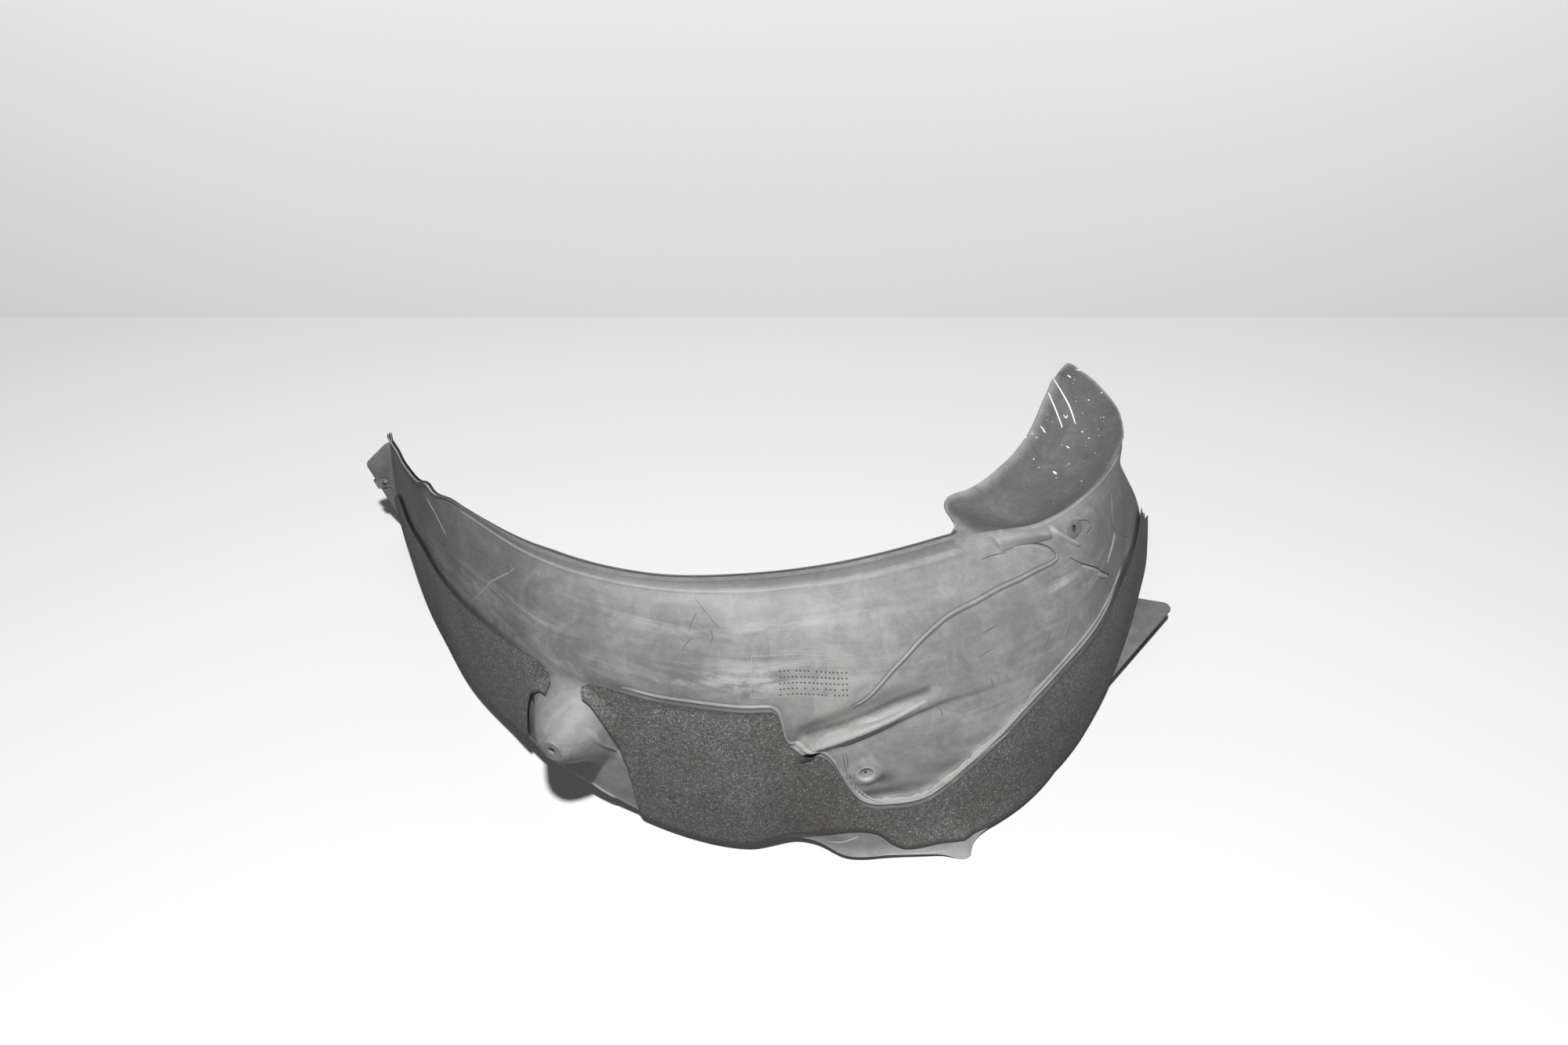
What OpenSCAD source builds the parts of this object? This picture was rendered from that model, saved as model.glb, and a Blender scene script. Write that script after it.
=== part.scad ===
// Wheel arch liner: one moulded sheet with a rolled side wall, two felt pads and a clip-on speed nut.
// It lies on its outboard edge, so +Z runs along the wheel axis, from the wing towards the body.
// Angles go round the wheel axis, from 0 at the crown (-Y side) and growing towards +X.

/* [Wheel arch] */
// Radius of the tread wall about the wheel axis at the crown
arch_r = 420; // [390:5:460]
// Width of the liner, from the outboard edge to the fold of the side wall
liner_w = 267; // [220:1:320]
// Wall of the moulded sheet
wall_t = 2.4; // [1.8:0.1:4]
// Angle of the short end
short_end = -95; // [-105:1:-85]
// Angle of the long end, at the outboard edge
long_end = 99; // [92:1:104]
// Outward bow of the tread wall between its edges
tread_bow = 12; // [0:1:20]
// How far the outboard foot is flared at its widest
foot_flare = 42; // [10:1:55]
// Height over which the flare dies out
flare_h = 26; // [12:1:50]

/* [Side wall] */
// Width of the narrow rolled side wall over the crown
rim_w = 11; // [6:1:16]
// Width of the wide side wall behind the long end
lobe_w = 94; // [60:1:110]
// Angle at which the wide side wall begins
lobe_start = 32; // [28:1:36]
// Depth of the dish in the wide side wall
lobe_dish = 22; // [0:1:30]

/* [Screw boss] */
// Angle of the boss
boss_angle = -26; // [-30:1:-22]
// Height of the boss above the outboard edge
boss_z = 124; // [100:1:140]
// How far the boss stands out of the tread wall
boss_h = 46; // [20:1:55]
// Radius of the boss at its foot
boss_foot_r = 50; // [40:1:56]
// Radius of its flat tip
boss_tip_r = 11; // [9:0.5:14]

/* [Pressed channel and rib] */
// Angle of the deep end of the channel
channel_angle = 3; // [1:1:6]
// Angle over which the channel runs
channel_span = 20; // [12:1:24]
// Height of the channel above the outboard edge, at its deep end
channel_z = 137; // [120:1:145]
// Rise of the channel along its run
channel_rise = 45; // [20:1:55]
// Depth of the channel
channel_depth = 10; // [4:1:14]
// Width of its gentle upper side
channel_up_w = 24; // [16:1:32]
// Width of its steep lower side
channel_low_w = 9; // [8:1:16]
// How far the rib along its lower side stands out
rib_h = 5; // [2:0.5:8]
// Half width of the rib
rib_half_w = 8; // [6:1:14]

/* [Recess panel] */
// Depth of the panel below the rib
panel_depth = 3.5; // [1:0.5:6]
// Height of the raised ring in the panel
ring_h = 3; // [0:0.5:5]
// Radius of the ring
ring_r = 10; // [7:0.5:14]

/* [Fastening holes] */
// Bore of the screw holes in the boss and the side wall
screw_hole_d = 6.6; // [5:0.1:9]
// Bore of the hole in the end flange
flange_hole_d = 9; // [6:0.5:12]
// Radius of the flat pad round the side wall hole
pad_r = 9; // [7:0.5:12]

/* [End flange and tab] */
// Width of the end flange at its widest
flange_w = 34; // [24:1:45]
// Height of the widest point of the end flange
flange_corner_z = 98; // [85:1:110]
// Distance of the flange hole from the free edge
flange_hole_in = 9; // [8:0.5:10]
// Distance of the flange hole along the free edge
flange_hole_up = 62; // [40:1:70]
// Reach of the side tab beyond the outboard edge
tab_reach = 40; // [15:1:50]
// Height of the side tab above the floor
tab_z = 24; // [12:1:40]
// Angle at which the side tab begins
tab_from = 55; // [50:1:60]
// Angle at which the side tab ends
tab_to = 76; // [70:1:80]

/* [Felt] */
// Thickness of the felt
felt_t = 3; // [2:0.1:5]
// Air between the felt and the sheet
felt_gap = 0.4; // [0.3:0.1:1]

/* [Speed nut] */
// Length of the speed nut along the flange
nut_l = 14; // [12:0.5:15]
// Width of the speed nut
nut_w = 12; // [10:0.5:16]
// Sheet of the speed nut
nut_t = 0.8; // [0.6:0.1:1.2]
// Air between the speed nut and the flange
nut_gap = 0.3; // [0.2:0.1:0.6]
// Bore of the speed nut
nut_hole_d = 4.8; // [4:0.1:6]

/* [Hidden] */

bore_fn = 48;
crown_step = 3;
fine_step = 1.4;

// Radius of the outboard edge against arch_r, by angle
edge_offset = [[-95, 10], [-85, -15], [-75, -30], [-65, -38], [-52, -34], [-42, -28], [-32, -13], [-18, -8],
               [-3, 8], [3, 2], [10, 12], [20, 16.5], [36, 16], [50, 0], [62, -11], [72, -12], [82, -4],
               [99, 20]];
// Share of foot_flare, by angle
flare_share = [[3, 0], [6, 0.12], [9, 0.5], [15, 0.6], [20, 0.78], [23.2, 0.88], [24.4, 0.66], [27, 0.54],
               [31, 0.38], [40, 0]];
// Lift of the bent outboard edge above the floor, by angle
edge_lift = [[-88, 0], [-80, 4], [-70, 8], [-62, 13], [-50, 25], [-36, 38], [-26, 28], [-16, 12], [-8, 8],
             [-3, 10], [2, 12], [5.5, 10], [9, 5], [15, 5], [20, 3], [23.2, 0], [26, 4], [34, 7], [50, 8],
             [62, 7], [75, 4], [88, 0]];
// How far the fold of the side wall lies inside arch_r, by angle
fold_inset = [[-95, -10], [-90, 2], [-84, 19], [-74, 31], [-62, 38], [-50, 48], [-36, 53], [-18, 66],
              [-4, 82], [10, 92], [24, 95], [34, 88], [44, 62], [56, 52], [66, 51], [99, 50]];
// Drop of the fold below liner_w, by angle
fold_drop = [[-95, 119], [-90, 98], [-84, 84], [-73, 49], [-65, 27], [-61, 12], [-59, 15], [-54, 3],
             [-46, 0]];
// Share of tread_bow, by angle
bow_share = [[45, 1], [66, 0.3], [80, -0.6], [99, -1.2]];
// How full the shoulder under the fold is, by angle
shoulder_share = [[48, 0.75], [66, 0.32], [80, 0.08], [99, 0.05]];
// Share of rim_w, by angle
rim_share = [[-54, 0.05], [-44, 0.5], [-34, 1]];
// Share of lobe_w, by degrees past lobe_start
lobe_share = [[-0.8, 0], [1.4, 0.16], [2.6, 0.42], [4.2, 0.6], [6.8, 0.77], [10.5, 0.9], [16, 0.97],
              [24, 1.01], [35, 0.98], [46, 0.93], [57, 0.79], [67, 0.78]];
// Outline of the long end: degrees short of long_end, by row from the outboard edge to the inner rim
long_end_trim = [[0, 0], [0.15, 8], [0.3, 18.5], [0.43, 23.3], [0.59, 28.6], [0.72, 31.8], [0.84, 33.5],
                 [0.9, 33.4], [0.95, 31.2], [1, 30.1], [1.05, 26], [1.15, 19.5], [1.4, 12], [1.6, 8.2],
                 [1.75, 6], [1.9, 9], [2, 13]];
// Angle from which the grid is drawn in towards that outline
trim_from = 58;

// Felt outlines: [angle, height above the floor] of the upper and the lower edge
long_felt_top = [[-25, 160], [-24.2, 168], [-21.5, 172.5], [-15.5, 172], [-9.9, 175.5], [-4.5, 177],
                 [-0.3, 176.5], [0.9, 169], [1.4, 152], [2.1, 136], [3.9, 131], [6.2, 128], [7.3, 121],
                 [8.3, 107], [9.6, 86], [10.8, 73], [12.1, 66.5], [14.2, 63.5], [16.2, 62], [18.3, 62.5],
                 [19.9, 66], [23.3, 81], [26.8, 98], [29.2, 108.5], [33.3, 127], [39.6, 144], [45.5, 149.5],
                 [51.2, 151.5], [54.2, 155], [58.5, 156], [65, 150], [72.6, 142], [85.4, 128], [94, 112]];
// The lower edge of the long pad passes over the side tab
felt_over_tab = tab_z + 4;
long_felt_low = [[-25, 157], [-23.9, 155], [-22, 144], [-20.6, 120], [-19.3, 93], [-18.5, 46], [-17.8, 25],
                 [-16.6, 15], [-11.5, 12], [-7, 13], [-3.6, 15.5], [-0.7, 20.5], [5.3, 30], [9.4, 41.5],
                 [12.8, 37], [14.4, 24], [15.6, 17], [17, 15], [20.8, 16], [24.6, 12.5], [29, 11], [46, 12],
                 [tab_from - 3, felt_over_tab], [tab_to + 3, felt_over_tab], [88, 12], [94, 12]];
short_felt_top = [[-93, 60], [-88, 100], [-84, 121], [-79.6, 130], [-75, 134], [-67.3, 145], [-60.5, 150],
                  [-52.2, 157], [-45, 161], [-38.5, 169], [-33, 175], [-31.3, 173], [-30, 165],
                  [-29.2, 156]];
short_felt_low = [[-93, 8], [-84, 8], [-74, 12], [-62, 18], [-50, 31], [-38, 44], [-36, 55], [-35, 90],
                  [-34.4, 110], [-33.5, 126], [-31, 146], [-29.2, 151]];

// Smooth curve through the rows of a table
function span_of(tab, x) = max(0, min(len(tab) - 2, len([for (row = tab) if (row[0] <= x) 1]) - 1));
function rise(tab, i, j) = (tab[j][1] - tab[i][1]) / (tab[j][0] - tab[i][0]);
function knot_slope(tab, i) = rise(tab, max(0, i - 1), min(len(tab) - 1, i + 1));
function hermite(u, y0, y1, m0, m1) =
    y0 * (1 + 2 * u) * (1 - u) * (1 - u) + y1 * u * u * (3 - 2 * u) + m0 * u * (1 - u) * (1 - u)
    - m1 * u * u * (1 - u);
function curve(tab, x) =
    let (last = len(tab) - 1,
         xc = max(tab[0][0], min(tab[last][0], x)),
         i = span_of(tab, xc),
         step = tab[i + 1][0] - tab[i][0],
         u = (xc - tab[i][0]) / step)
    hermite(u, tab[i][1], tab[i + 1][1], knot_slope(tab, i) * step, knot_slope(tab, i + 1) * step);
function blend(u) = let (c = max(0, min(1, u))) c * c * (3 - 2 * c);

// Section of the sheet at one angle
function edge_r(a) = arch_r + curve(edge_offset, a);
function edge_z(a) = curve(edge_lift, a);
function fold_r(a) = arch_r - curve(fold_inset, a);
function fold_z(a) = liner_w - curve(fold_drop, a);
function side_w(a) =
    a < lobe_start - 1 ? rim_w * curve(rim_share, a)
                       : rim_w + (lobe_w - rim_w) * curve(lobe_share, a - lobe_start);
function bezier(p, u) =
    pow(1 - u, 3) * p[0] + 3 * u * pow(1 - u, 2) * p[1] + 3 * u * u * (1 - u) * p[2] + pow(u, 3) * p[3];
function tread_point(a, v) =
    let (foot = [edge_r(a), edge_z(a)],
         fold = [fold_r(a), fold_z(a)],
         h = fold[1] - foot[1])
    bezier([foot, foot + [tread_bow * curve(bow_share, a), 0.48 * h],
            fold + [curve(shoulder_share, a) * (foot[0] - fold[0]), -0.08 * h], fold], v);
function side_point(a, s) =
    let (dish = lobe_dish * blend((a - lobe_start) / 14) * (1 - 0.6 * blend((a - 68) / 24)))
    [fold_r(a) - side_w(a) * s, fold_z(a) - 2 * s - 0.5 * dish * s - dish * sin(180 * s)];

// Forms pressed into the tread wall, as a move away from the wheel axis
// The boss is a cone with a flat tip, wider to the left and downwards; its flanks keep an edge at tip and foot
boss_straight = 0.55;
function boss_move(a, z) =
    let (x = (a - boss_angle) * PI / 180 * arch_r,
         y = z - boss_z,
         d = norm([x * (x > 0 ? 1.1 : 0.9), y * (y > 0 ? 1.15 : 0.85)]),
         t = max(0, min(1, (d - boss_tip_r) / (boss_foot_r - boss_tip_r))))
    boss_h * (1 - boss_straight * t - (1 - boss_straight) * blend(t));
// The channel has a gentle upper side and a steep lower one, with the rib along it
function channel_line(a) =
    let (u = max(-0.2, min(1, (a - channel_angle) / channel_span)))
    channel_z + channel_rise * (1 - pow(1 - u, 1.6));
function channel_move(a, z) =
    let (u = (a - channel_angle) / channel_span,
         off = z - channel_line(a),
         side = off > 0 ? off / channel_up_w : -off / channel_low_w,
         fade = blend((u + 0.09) / 0.18) * pow(max(0, min(1, 1 - u)), 0.7),
         crest = min(1, abs(off + channel_low_w) / rib_half_w))
    fade * (rib_h * pow(cos(90 * crest), 2) - channel_depth * (1 - blend(side)));
function panel_move(a, z) =
    let (u = (a - channel_angle - 4) / channel_span,
         top = channel_line(a) - channel_low_w - 4)
    -panel_depth * blend(u / 0.15) * blend((1.5 - u) / 0.8) * blend((top - z) / 8)
    * blend((z - curve(long_felt_top, a) - 4) / 7);
ring_angle = channel_angle + 8.5;
ring_z = channel_z - 32;
ring_edge_w = 7;
function ring_move(a, z) =
    let (x = (a - ring_angle) * PI / 180 * arch_r,
         d = norm([x, z - ring_z]))
    ring_h * pow(max(0, 1 - pow((d - ring_r) / ring_edge_w, 2)), 2);
function flare_move(a, z) = foot_flare * curve(flare_share, a) * exp(-z / flare_h);
function tread_move(a, z) =
    boss_move(a, z) + channel_move(a, z) + panel_move(a, z) + ring_move(a, z) + flare_move(a, z);

// Point of the outer face at angle a: v runs 0 to 1 up the tread wall, then to 2 across the side wall
function skin(a, v) =
    let (p = v <= 1 ? tread_point(a, v) : side_point(a, v - 1),
         r = p[0] + (v <= 1 ? tread_move(a, p[1]) * blend((1 - v) / 0.12) : 0))
    [r * sin(a), -r * cos(a), p[1]];
// The grid's columns are drawn in towards the outline of the long end
function warp(a, v) =
    a <= trim_from ? a : trim_from + (a - trim_from) * (long_end - curve(long_end_trim, v) - trim_from)
                         / (long_end - trim_from);
function face(a, v) = skin(warp(a, v), v);
function face_normal(a, v) =
    let (da = 0.4,
         dv = 0.02,
         du = face(min(a + da, long_end), v) - face(max(a - da, short_end), v),
         dw = face(a, min(v + dv, 2)) - face(a, max(v - dv, 0)),
         n = cross(du, dw))
    n / norm(n);
function offset_face(a, v, depth) = face(a, v) + depth * face_normal(a, v);

// Closed sheet between two grids of points, the outer one seen from outside with rows going up
function sheet_points(outer, inner) = concat([for (row = outer) each row], [for (row = inner) each row]);
function sheet_faces(rows, cols) =
    let (n = rows * cols)
    concat(
        [for (i = [0:rows - 2], j = [0:cols - 2]) each
            let (a = i * cols + j, b = a + 1, c = a + cols + 1, d = a + cols)
            [[a, c, b], [a, d, c], [n + a, n + b, n + c], [n + a, n + c, n + d]]],
        [for (j = [0:cols - 2]) each
            let (a = j, b = j + 1, c = (rows - 1) * cols + j, d = c + 1)
            [[a, b, n + b], [a, n + b, n + a], [d, c, n + c], [d, n + c, n + d]]],
        [for (i = [0:rows - 2]) each
            let (a = i * cols, b = a + cols, c = a + cols - 1, d = b + cols - 1)
            [[b, a, n + a], [b, n + a, n + b], [c, d, n + d], [c, n + d, n + c]]]
    );
module sheet(outer, inner) {
    polyhedron(points = sheet_points(outer, inner), faces = sheet_faces(len(outer), len(outer[0])));
}

// Angles and rows of the grid: finer round the boss and the channel
function steps(from, to, step) =
    let (n = max(1, round((to - from) / step)))
    [for (k = [0:n - 1]) from + (to - from) * k / n];
channel_end = channel_angle + channel_span;
shell_angles = concat(steps(short_end, boss_angle - 10, crown_step),
                      steps(boss_angle - 10, boss_angle + 12, fine_step),
                      steps(boss_angle + 12, channel_angle - 2, crown_step),
                      steps(channel_angle - 2, channel_end, fine_step),
                      steps(channel_end, lobe_start - 1, 2),
                      steps(lobe_start - 1, lobe_start + 6, fine_step),
                      steps(lobe_start + 6, long_end, crown_step + 0.4),
                      [long_end]);
shell_rows = concat(steps(0, 0.15, 0.05), steps(0.15, 0.56, 0.026), steps(0.56, 1, 0.065),
                    steps(1, 2, 0.17), [2]);
outer_grid = [for (v = shell_rows) [for (a = shell_angles) face(a, v)]];

// Outline of the end flange: its foot, its widest corner and the free edge between them, as [radius, height]
flange_root_r = edge_r(short_end) - wall_t / 2;
flange_foot = [flange_root_r + 5, 16];
flange_corner = [flange_root_r + flange_w, flange_corner_z];
flange_edge = (flange_corner - flange_foot) / norm(flange_corner - flange_foot);
flange_inward = [-flange_edge.y, flange_edge.x];
flange_hole = flange_foot + flange_hole_up * flange_edge + flange_hole_in * flange_inward;
flange_round = 9;
flange_setback = 0.3;

// Box of the sheet, which sets the origin under its middle
xs = [for (row = outer_grid) each [for (p = row) p.x]];
ys = [for (row = outer_grid) each [for (p = row) p.y]];
zs = [for (row = outer_grid) each [for (p = row) p.z]];
flange_x = flange_corner.x * sin(short_end);
wheel_axis = [-(min(flange_x, min(xs)) + max(xs)) / 2, -(min(ys) + max(ys)) / 2, -min(zs)];
module on_wheel_axis() {
    translate(wheel_axis) children();
}
function kept_above(p, low) = [p.x, p.y, max(p.z, low)];
module wall_sheet() {
    inner_grid = [for (v = shell_rows) [for (a = shell_angles)
        kept_above(offset_face(a, v, -wall_t), edge_z(warp(a, v)))]];
    sheet(outer_grid, inner_grid);
}

// Frames on the sheet: +Z out of the face, or out along a radius
module on_face(a, v) {
    n = face_normal(a, v);
    translate(face(a, v)) rotate([0, acos(n.z), atan2(n.y, n.x)]) children();
}
module facing_out(a, r, z) {
    translate([r * sin(a), -r * cos(a), z]) rotate([0, 0, a]) rotate([90, 0, 0]) children();
}

// Frame of the end flange: +X outwards along a radius, +Y up, Z across the plate from its inner face
module on_end_flange() {
    rotate([0, 0, short_end - 90]) rotate([90, 0, 0]) translate([0, 0, -wall_t - flange_setback]) children();
}

// Screw boss tip: a flat disc with its bore
tip_r = tread_point(boss_angle, row_at(boss_angle, boss_z))[0] + boss_h;
tip_proud = 0.4;
tip_plate = wall_t + 1.2;
module boss_tip() {
    facing_out(boss_angle, tip_r + tip_proud - tip_plate, boss_z)
        cylinder(r = boss_tip_r, h = tip_plate, $fn = bore_fn);
}
module boss_bore() {
    facing_out(boss_angle, tip_r - 3 * wall_t, boss_z)
        cylinder(d = screw_hole_d, h = 6 * wall_t, $fn = bore_fn);
}

// Screw hole below the fold, on a flat pad
pad_angle = 48;
pad_z = liner_w - 12;
pad_proud = 0.7;
pad_plate = wall_t + 1.6;
module fold_pad() {
    on_face(pad_angle, row_at(pad_angle, pad_z)) translate([0, 0, pad_proud - pad_plate])
        cylinder(r = pad_r, h = pad_plate, $fn = bore_fn);
}
module fold_bore() {
    on_face(pad_angle, row_at(pad_angle, pad_z)) translate([0, 0, -3 * wall_t])
        cylinder(d = screw_hole_d, h = 6 * wall_t, $fn = bore_fn);
}

// End flange: a plate across the short end, wider upwards, cut back to a point at the top
function arc(centre, r, from, to, n) =
    [for (k = [0:n]) centre + r * [cos(from + (to - from) * k / n), sin(from + (to - from) * k / n)]];
flange_lean = atan2(flange_edge.y, flange_edge.x) - 90;
corner_centre = flange_corner + flange_round * flange_inward;
module end_flange() {
    on_end_flange() difference() {
        linear_extrude(wall_t)
            polygon(concat([[flange_root_r, flange_foot.y / 2], flange_foot],
                           arc(corner_centre, flange_round, flange_lean, 50, 6),
                           [[flange_root_r + 10, flange_corner_z + 33],
                            [flange_root_r, flange_corner_z + 40]]));
        translate([flange_hole.x, flange_hole.y, -1])
            cylinder(d = flange_hole_d, h = wall_t + 2, $fn = bore_fn);
    }
}

// Side tab: a flat tongue standing out of the tread wall, with a rounded tip
tab_steps = 6;
tab_round = 9;
tab_lean = -45;
function tab_root(a) = let (p = skin(a, row_at(a, tab_z))) norm([p.x, p.y]) - wall_t / 2;
function polar(r, a) = [r * sin(a), -r * cos(a)];
module side_tab() {
    tip = tab_root(tab_to) + tab_reach - tab_round;
    tip_turn = tab_to - asin(tab_round / tip);
    width = (tab_to - tab_from) / tab_steps;
    translate([0, 0, tab_z - wall_t]) linear_extrude(wall_t)
        polygon(concat([for (k = [0:tab_steps]) polar(tab_root(tab_from + width * k), tab_from + width * k)],
                       arc(polar(tip, tip_turn), tab_round, tab_to, tab_lean, tab_steps)));
}

module liner_shell() {
    color([0.42, 0.43, 0.45]) on_wheel_axis() difference() {
        union() {
            wall_sheet();
            boss_tip();
            fold_pad();
            end_flange();
            side_tab();
        }
        boss_bore();
        fold_bore();
    }
}

// Row at which the tread wall reaches a height, found by halving
function row_at(a, z) = row_search(a, z, 0, 1, 14);
function row_search(a, z, lo, hi, left) =
    let (mid = (lo + hi) / 2)
    left == 0 ? mid
        : tread_point(a, mid)[1] < z ? row_search(a, z, mid, hi, left - 1)
        : row_search(a, z, lo, mid, left - 1);

// Pad of felt between two edge curves, laid on the outer face
function felt_grid(top, bottom, angles, rows, depth) =
    [for (k = [0:rows]) [for (a = angles)
        let (v0 = row_at(a, curve(bottom, a)),
             v1 = row_at(a, max(curve(top, a), curve(bottom, a) + felt_t)))
        offset_face(a, v0 + (v1 - v0) * k / rows, depth)]];
module felt_pad(top, bottom, angles, rows) {
    on_wheel_axis() sheet(felt_grid(top, bottom, angles, rows, felt_gap + felt_t),
                          felt_grid(top, bottom, angles, rows, felt_gap));
}

function first(tab) = tab[0][0];
function last(tab) = tab[len(tab) - 1][0];
felt_grey = [0.28, 0.27, 0.26];
long_fine_to = 12;
short_fine_from = -39;
module felt_pad_long() {
    to = last(long_felt_top);
    angles = concat(steps(first(long_felt_top), long_fine_to, fine_step),
                    steps(long_fine_to, to, crown_step), [to]);
    color(felt_grey) felt_pad(long_felt_top, long_felt_low, angles, 10);
}

module felt_pad_short() {
    to = last(short_felt_top);
    angles = concat(steps(first(short_felt_top), short_fine_from, crown_step),
                    steps(short_fine_from, to, fine_step), [to]);
    color(felt_grey) felt_pad(short_felt_top, short_felt_low, angles, 8);
}

// Speed nut: a strip bent round the free edge of the end flange, with a pressed collar
nut_bend_r = wall_t / 2 + nut_gap + nut_t;
nut_reach = flange_hole_in + 1;
collar_h = 2.2;
module nut_profile() {
    gap_r = nut_bend_r - nut_t;
    difference() {
        union() {
            translate([nut_reach - nut_l, -nut_bend_r]) square([nut_l, 2 * nut_bend_r]);
            translate([nut_reach, 0]) circle(r = nut_bend_r, $fn = bore_fn);
        }
        translate([nut_reach - nut_l - 1, -gap_r]) square([nut_l + 1, 2 * gap_r]);
        translate([nut_reach, 0]) circle(r = gap_r, $fn = bore_fn);
    }
}
module nut_collar() {
    translate([0, 0, -nut_bend_r - collar_h])
        cylinder(d = nut_hole_d + 2 * nut_t, h = collar_h + nut_t / 2, $fn = bore_fn);
}
module nut_bore() {
    translate([0, 0, -nut_bend_r - collar_h - 1])
        cylinder(d = nut_hole_d, h = 2 * nut_bend_r + collar_h + 2, $fn = bore_fn);
}
module speed_nut() {
    color([0.6, 0.56, 0.5]) on_wheel_axis() on_end_flange()
        translate([flange_hole.x, flange_hole.y, wall_t / 2]) rotate([0, 0, flange_lean]) difference() {
            union() {
                rotate([90, 0, 0]) translate([0, 0, -nut_w / 2]) linear_extrude(nut_w) nut_profile();
                nut_collar();
            }
            nut_bore();
        }
}

liner_shell();
felt_pad_long();
felt_pad_short();
speed_nut();
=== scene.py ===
# %% [markdown]
# # A used wheel arch liner
# The object is one thin polypropylene moulding that lines the inside of a car's front wing. Two pads of needle
# felt are bonded to it, and a rusty speed nut is pushed onto its end flange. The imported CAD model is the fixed
# frame: it gives every size and place. This script builds finer skins in that frame and gives them their finishes.

import math
import random

import bmesh
import bpy
import numpy as np
from mathutils import Matrix, Vector


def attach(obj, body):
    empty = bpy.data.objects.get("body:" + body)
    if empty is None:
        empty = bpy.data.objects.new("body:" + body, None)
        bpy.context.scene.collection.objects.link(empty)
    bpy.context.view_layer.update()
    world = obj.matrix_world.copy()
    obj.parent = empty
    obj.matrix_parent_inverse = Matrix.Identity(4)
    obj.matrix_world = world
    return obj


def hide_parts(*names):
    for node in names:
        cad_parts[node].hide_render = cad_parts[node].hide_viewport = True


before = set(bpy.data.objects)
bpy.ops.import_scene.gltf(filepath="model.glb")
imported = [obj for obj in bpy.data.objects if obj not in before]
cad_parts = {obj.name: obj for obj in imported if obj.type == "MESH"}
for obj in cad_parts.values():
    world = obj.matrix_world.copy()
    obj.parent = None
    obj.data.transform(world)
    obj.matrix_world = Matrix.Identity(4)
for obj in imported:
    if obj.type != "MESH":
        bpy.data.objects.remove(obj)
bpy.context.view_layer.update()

# %% [markdown]
# ## Camera
# The liner lies on a white floor and is seen from a little over a metre up. The camera only tilts down and neither
# turns nor rolls, so the line between floor and wall stays level. The lens is a focal length for a 36 mm wide sensor.

# %% Camera
camera_data = bpy.data.cameras.new("camera")
camera_data.sensor_width = 36.0
camera_data.lens = 36.77
camera = bpy.data.objects.new("camera", camera_data)
camera.location = (0.0242, -1.2024, 1.223)
camera.rotation_euler = (math.radians(90 - 40.2), 0, 0)
bpy.context.scene.collection.objects.link(camera)
bpy.context.scene.camera = camera
bpy.context.scene.view_settings.view_transform = "Standard"
print("camera at", tuple(camera.location))

# %% [markdown]
# ## Shader maths as Python
# A material is a graph of nodes. Written out node by node it is long and hard to read, so a small class wraps a
# socket and turns +, - and * into Math nodes. Everything else comes from one method, `node`.

# %% A socket that can be calculated with
class Value:
    """One output socket; arithmetic on it adds Math nodes."""

    def __init__(self, finish, socket):
        self.finish, self.socket = finish, socket

    def math(self, operation, *others):
        return self.finish.node("ShaderNodeMath", {"operation": operation}, dict(enumerate([self, *others])))

    def __add__(self, other):
        return self.math("ADD", other)

    def __mul__(self, other):
        return self.math("MULTIPLY", other)

    def __sub__(self, other):
        return self.math("SUBTRACT", other)

    def __rsub__(self, other):
        return self.finish.node("ShaderNodeMath", {"operation": "SUBTRACT"}, {0: other, 1: self})

    __radd__ = __add__
    __rmul__ = __mul__

    def step(self, low, high):
        """0 below low, 1 above high and smooth between them."""
        settings = {"interpolation_type": "SMOOTHSTEP"}
        return self.finish.node("ShaderNodeMapRange", settings, {"Value": self, "From Min": low, "From Max": high})


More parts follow.
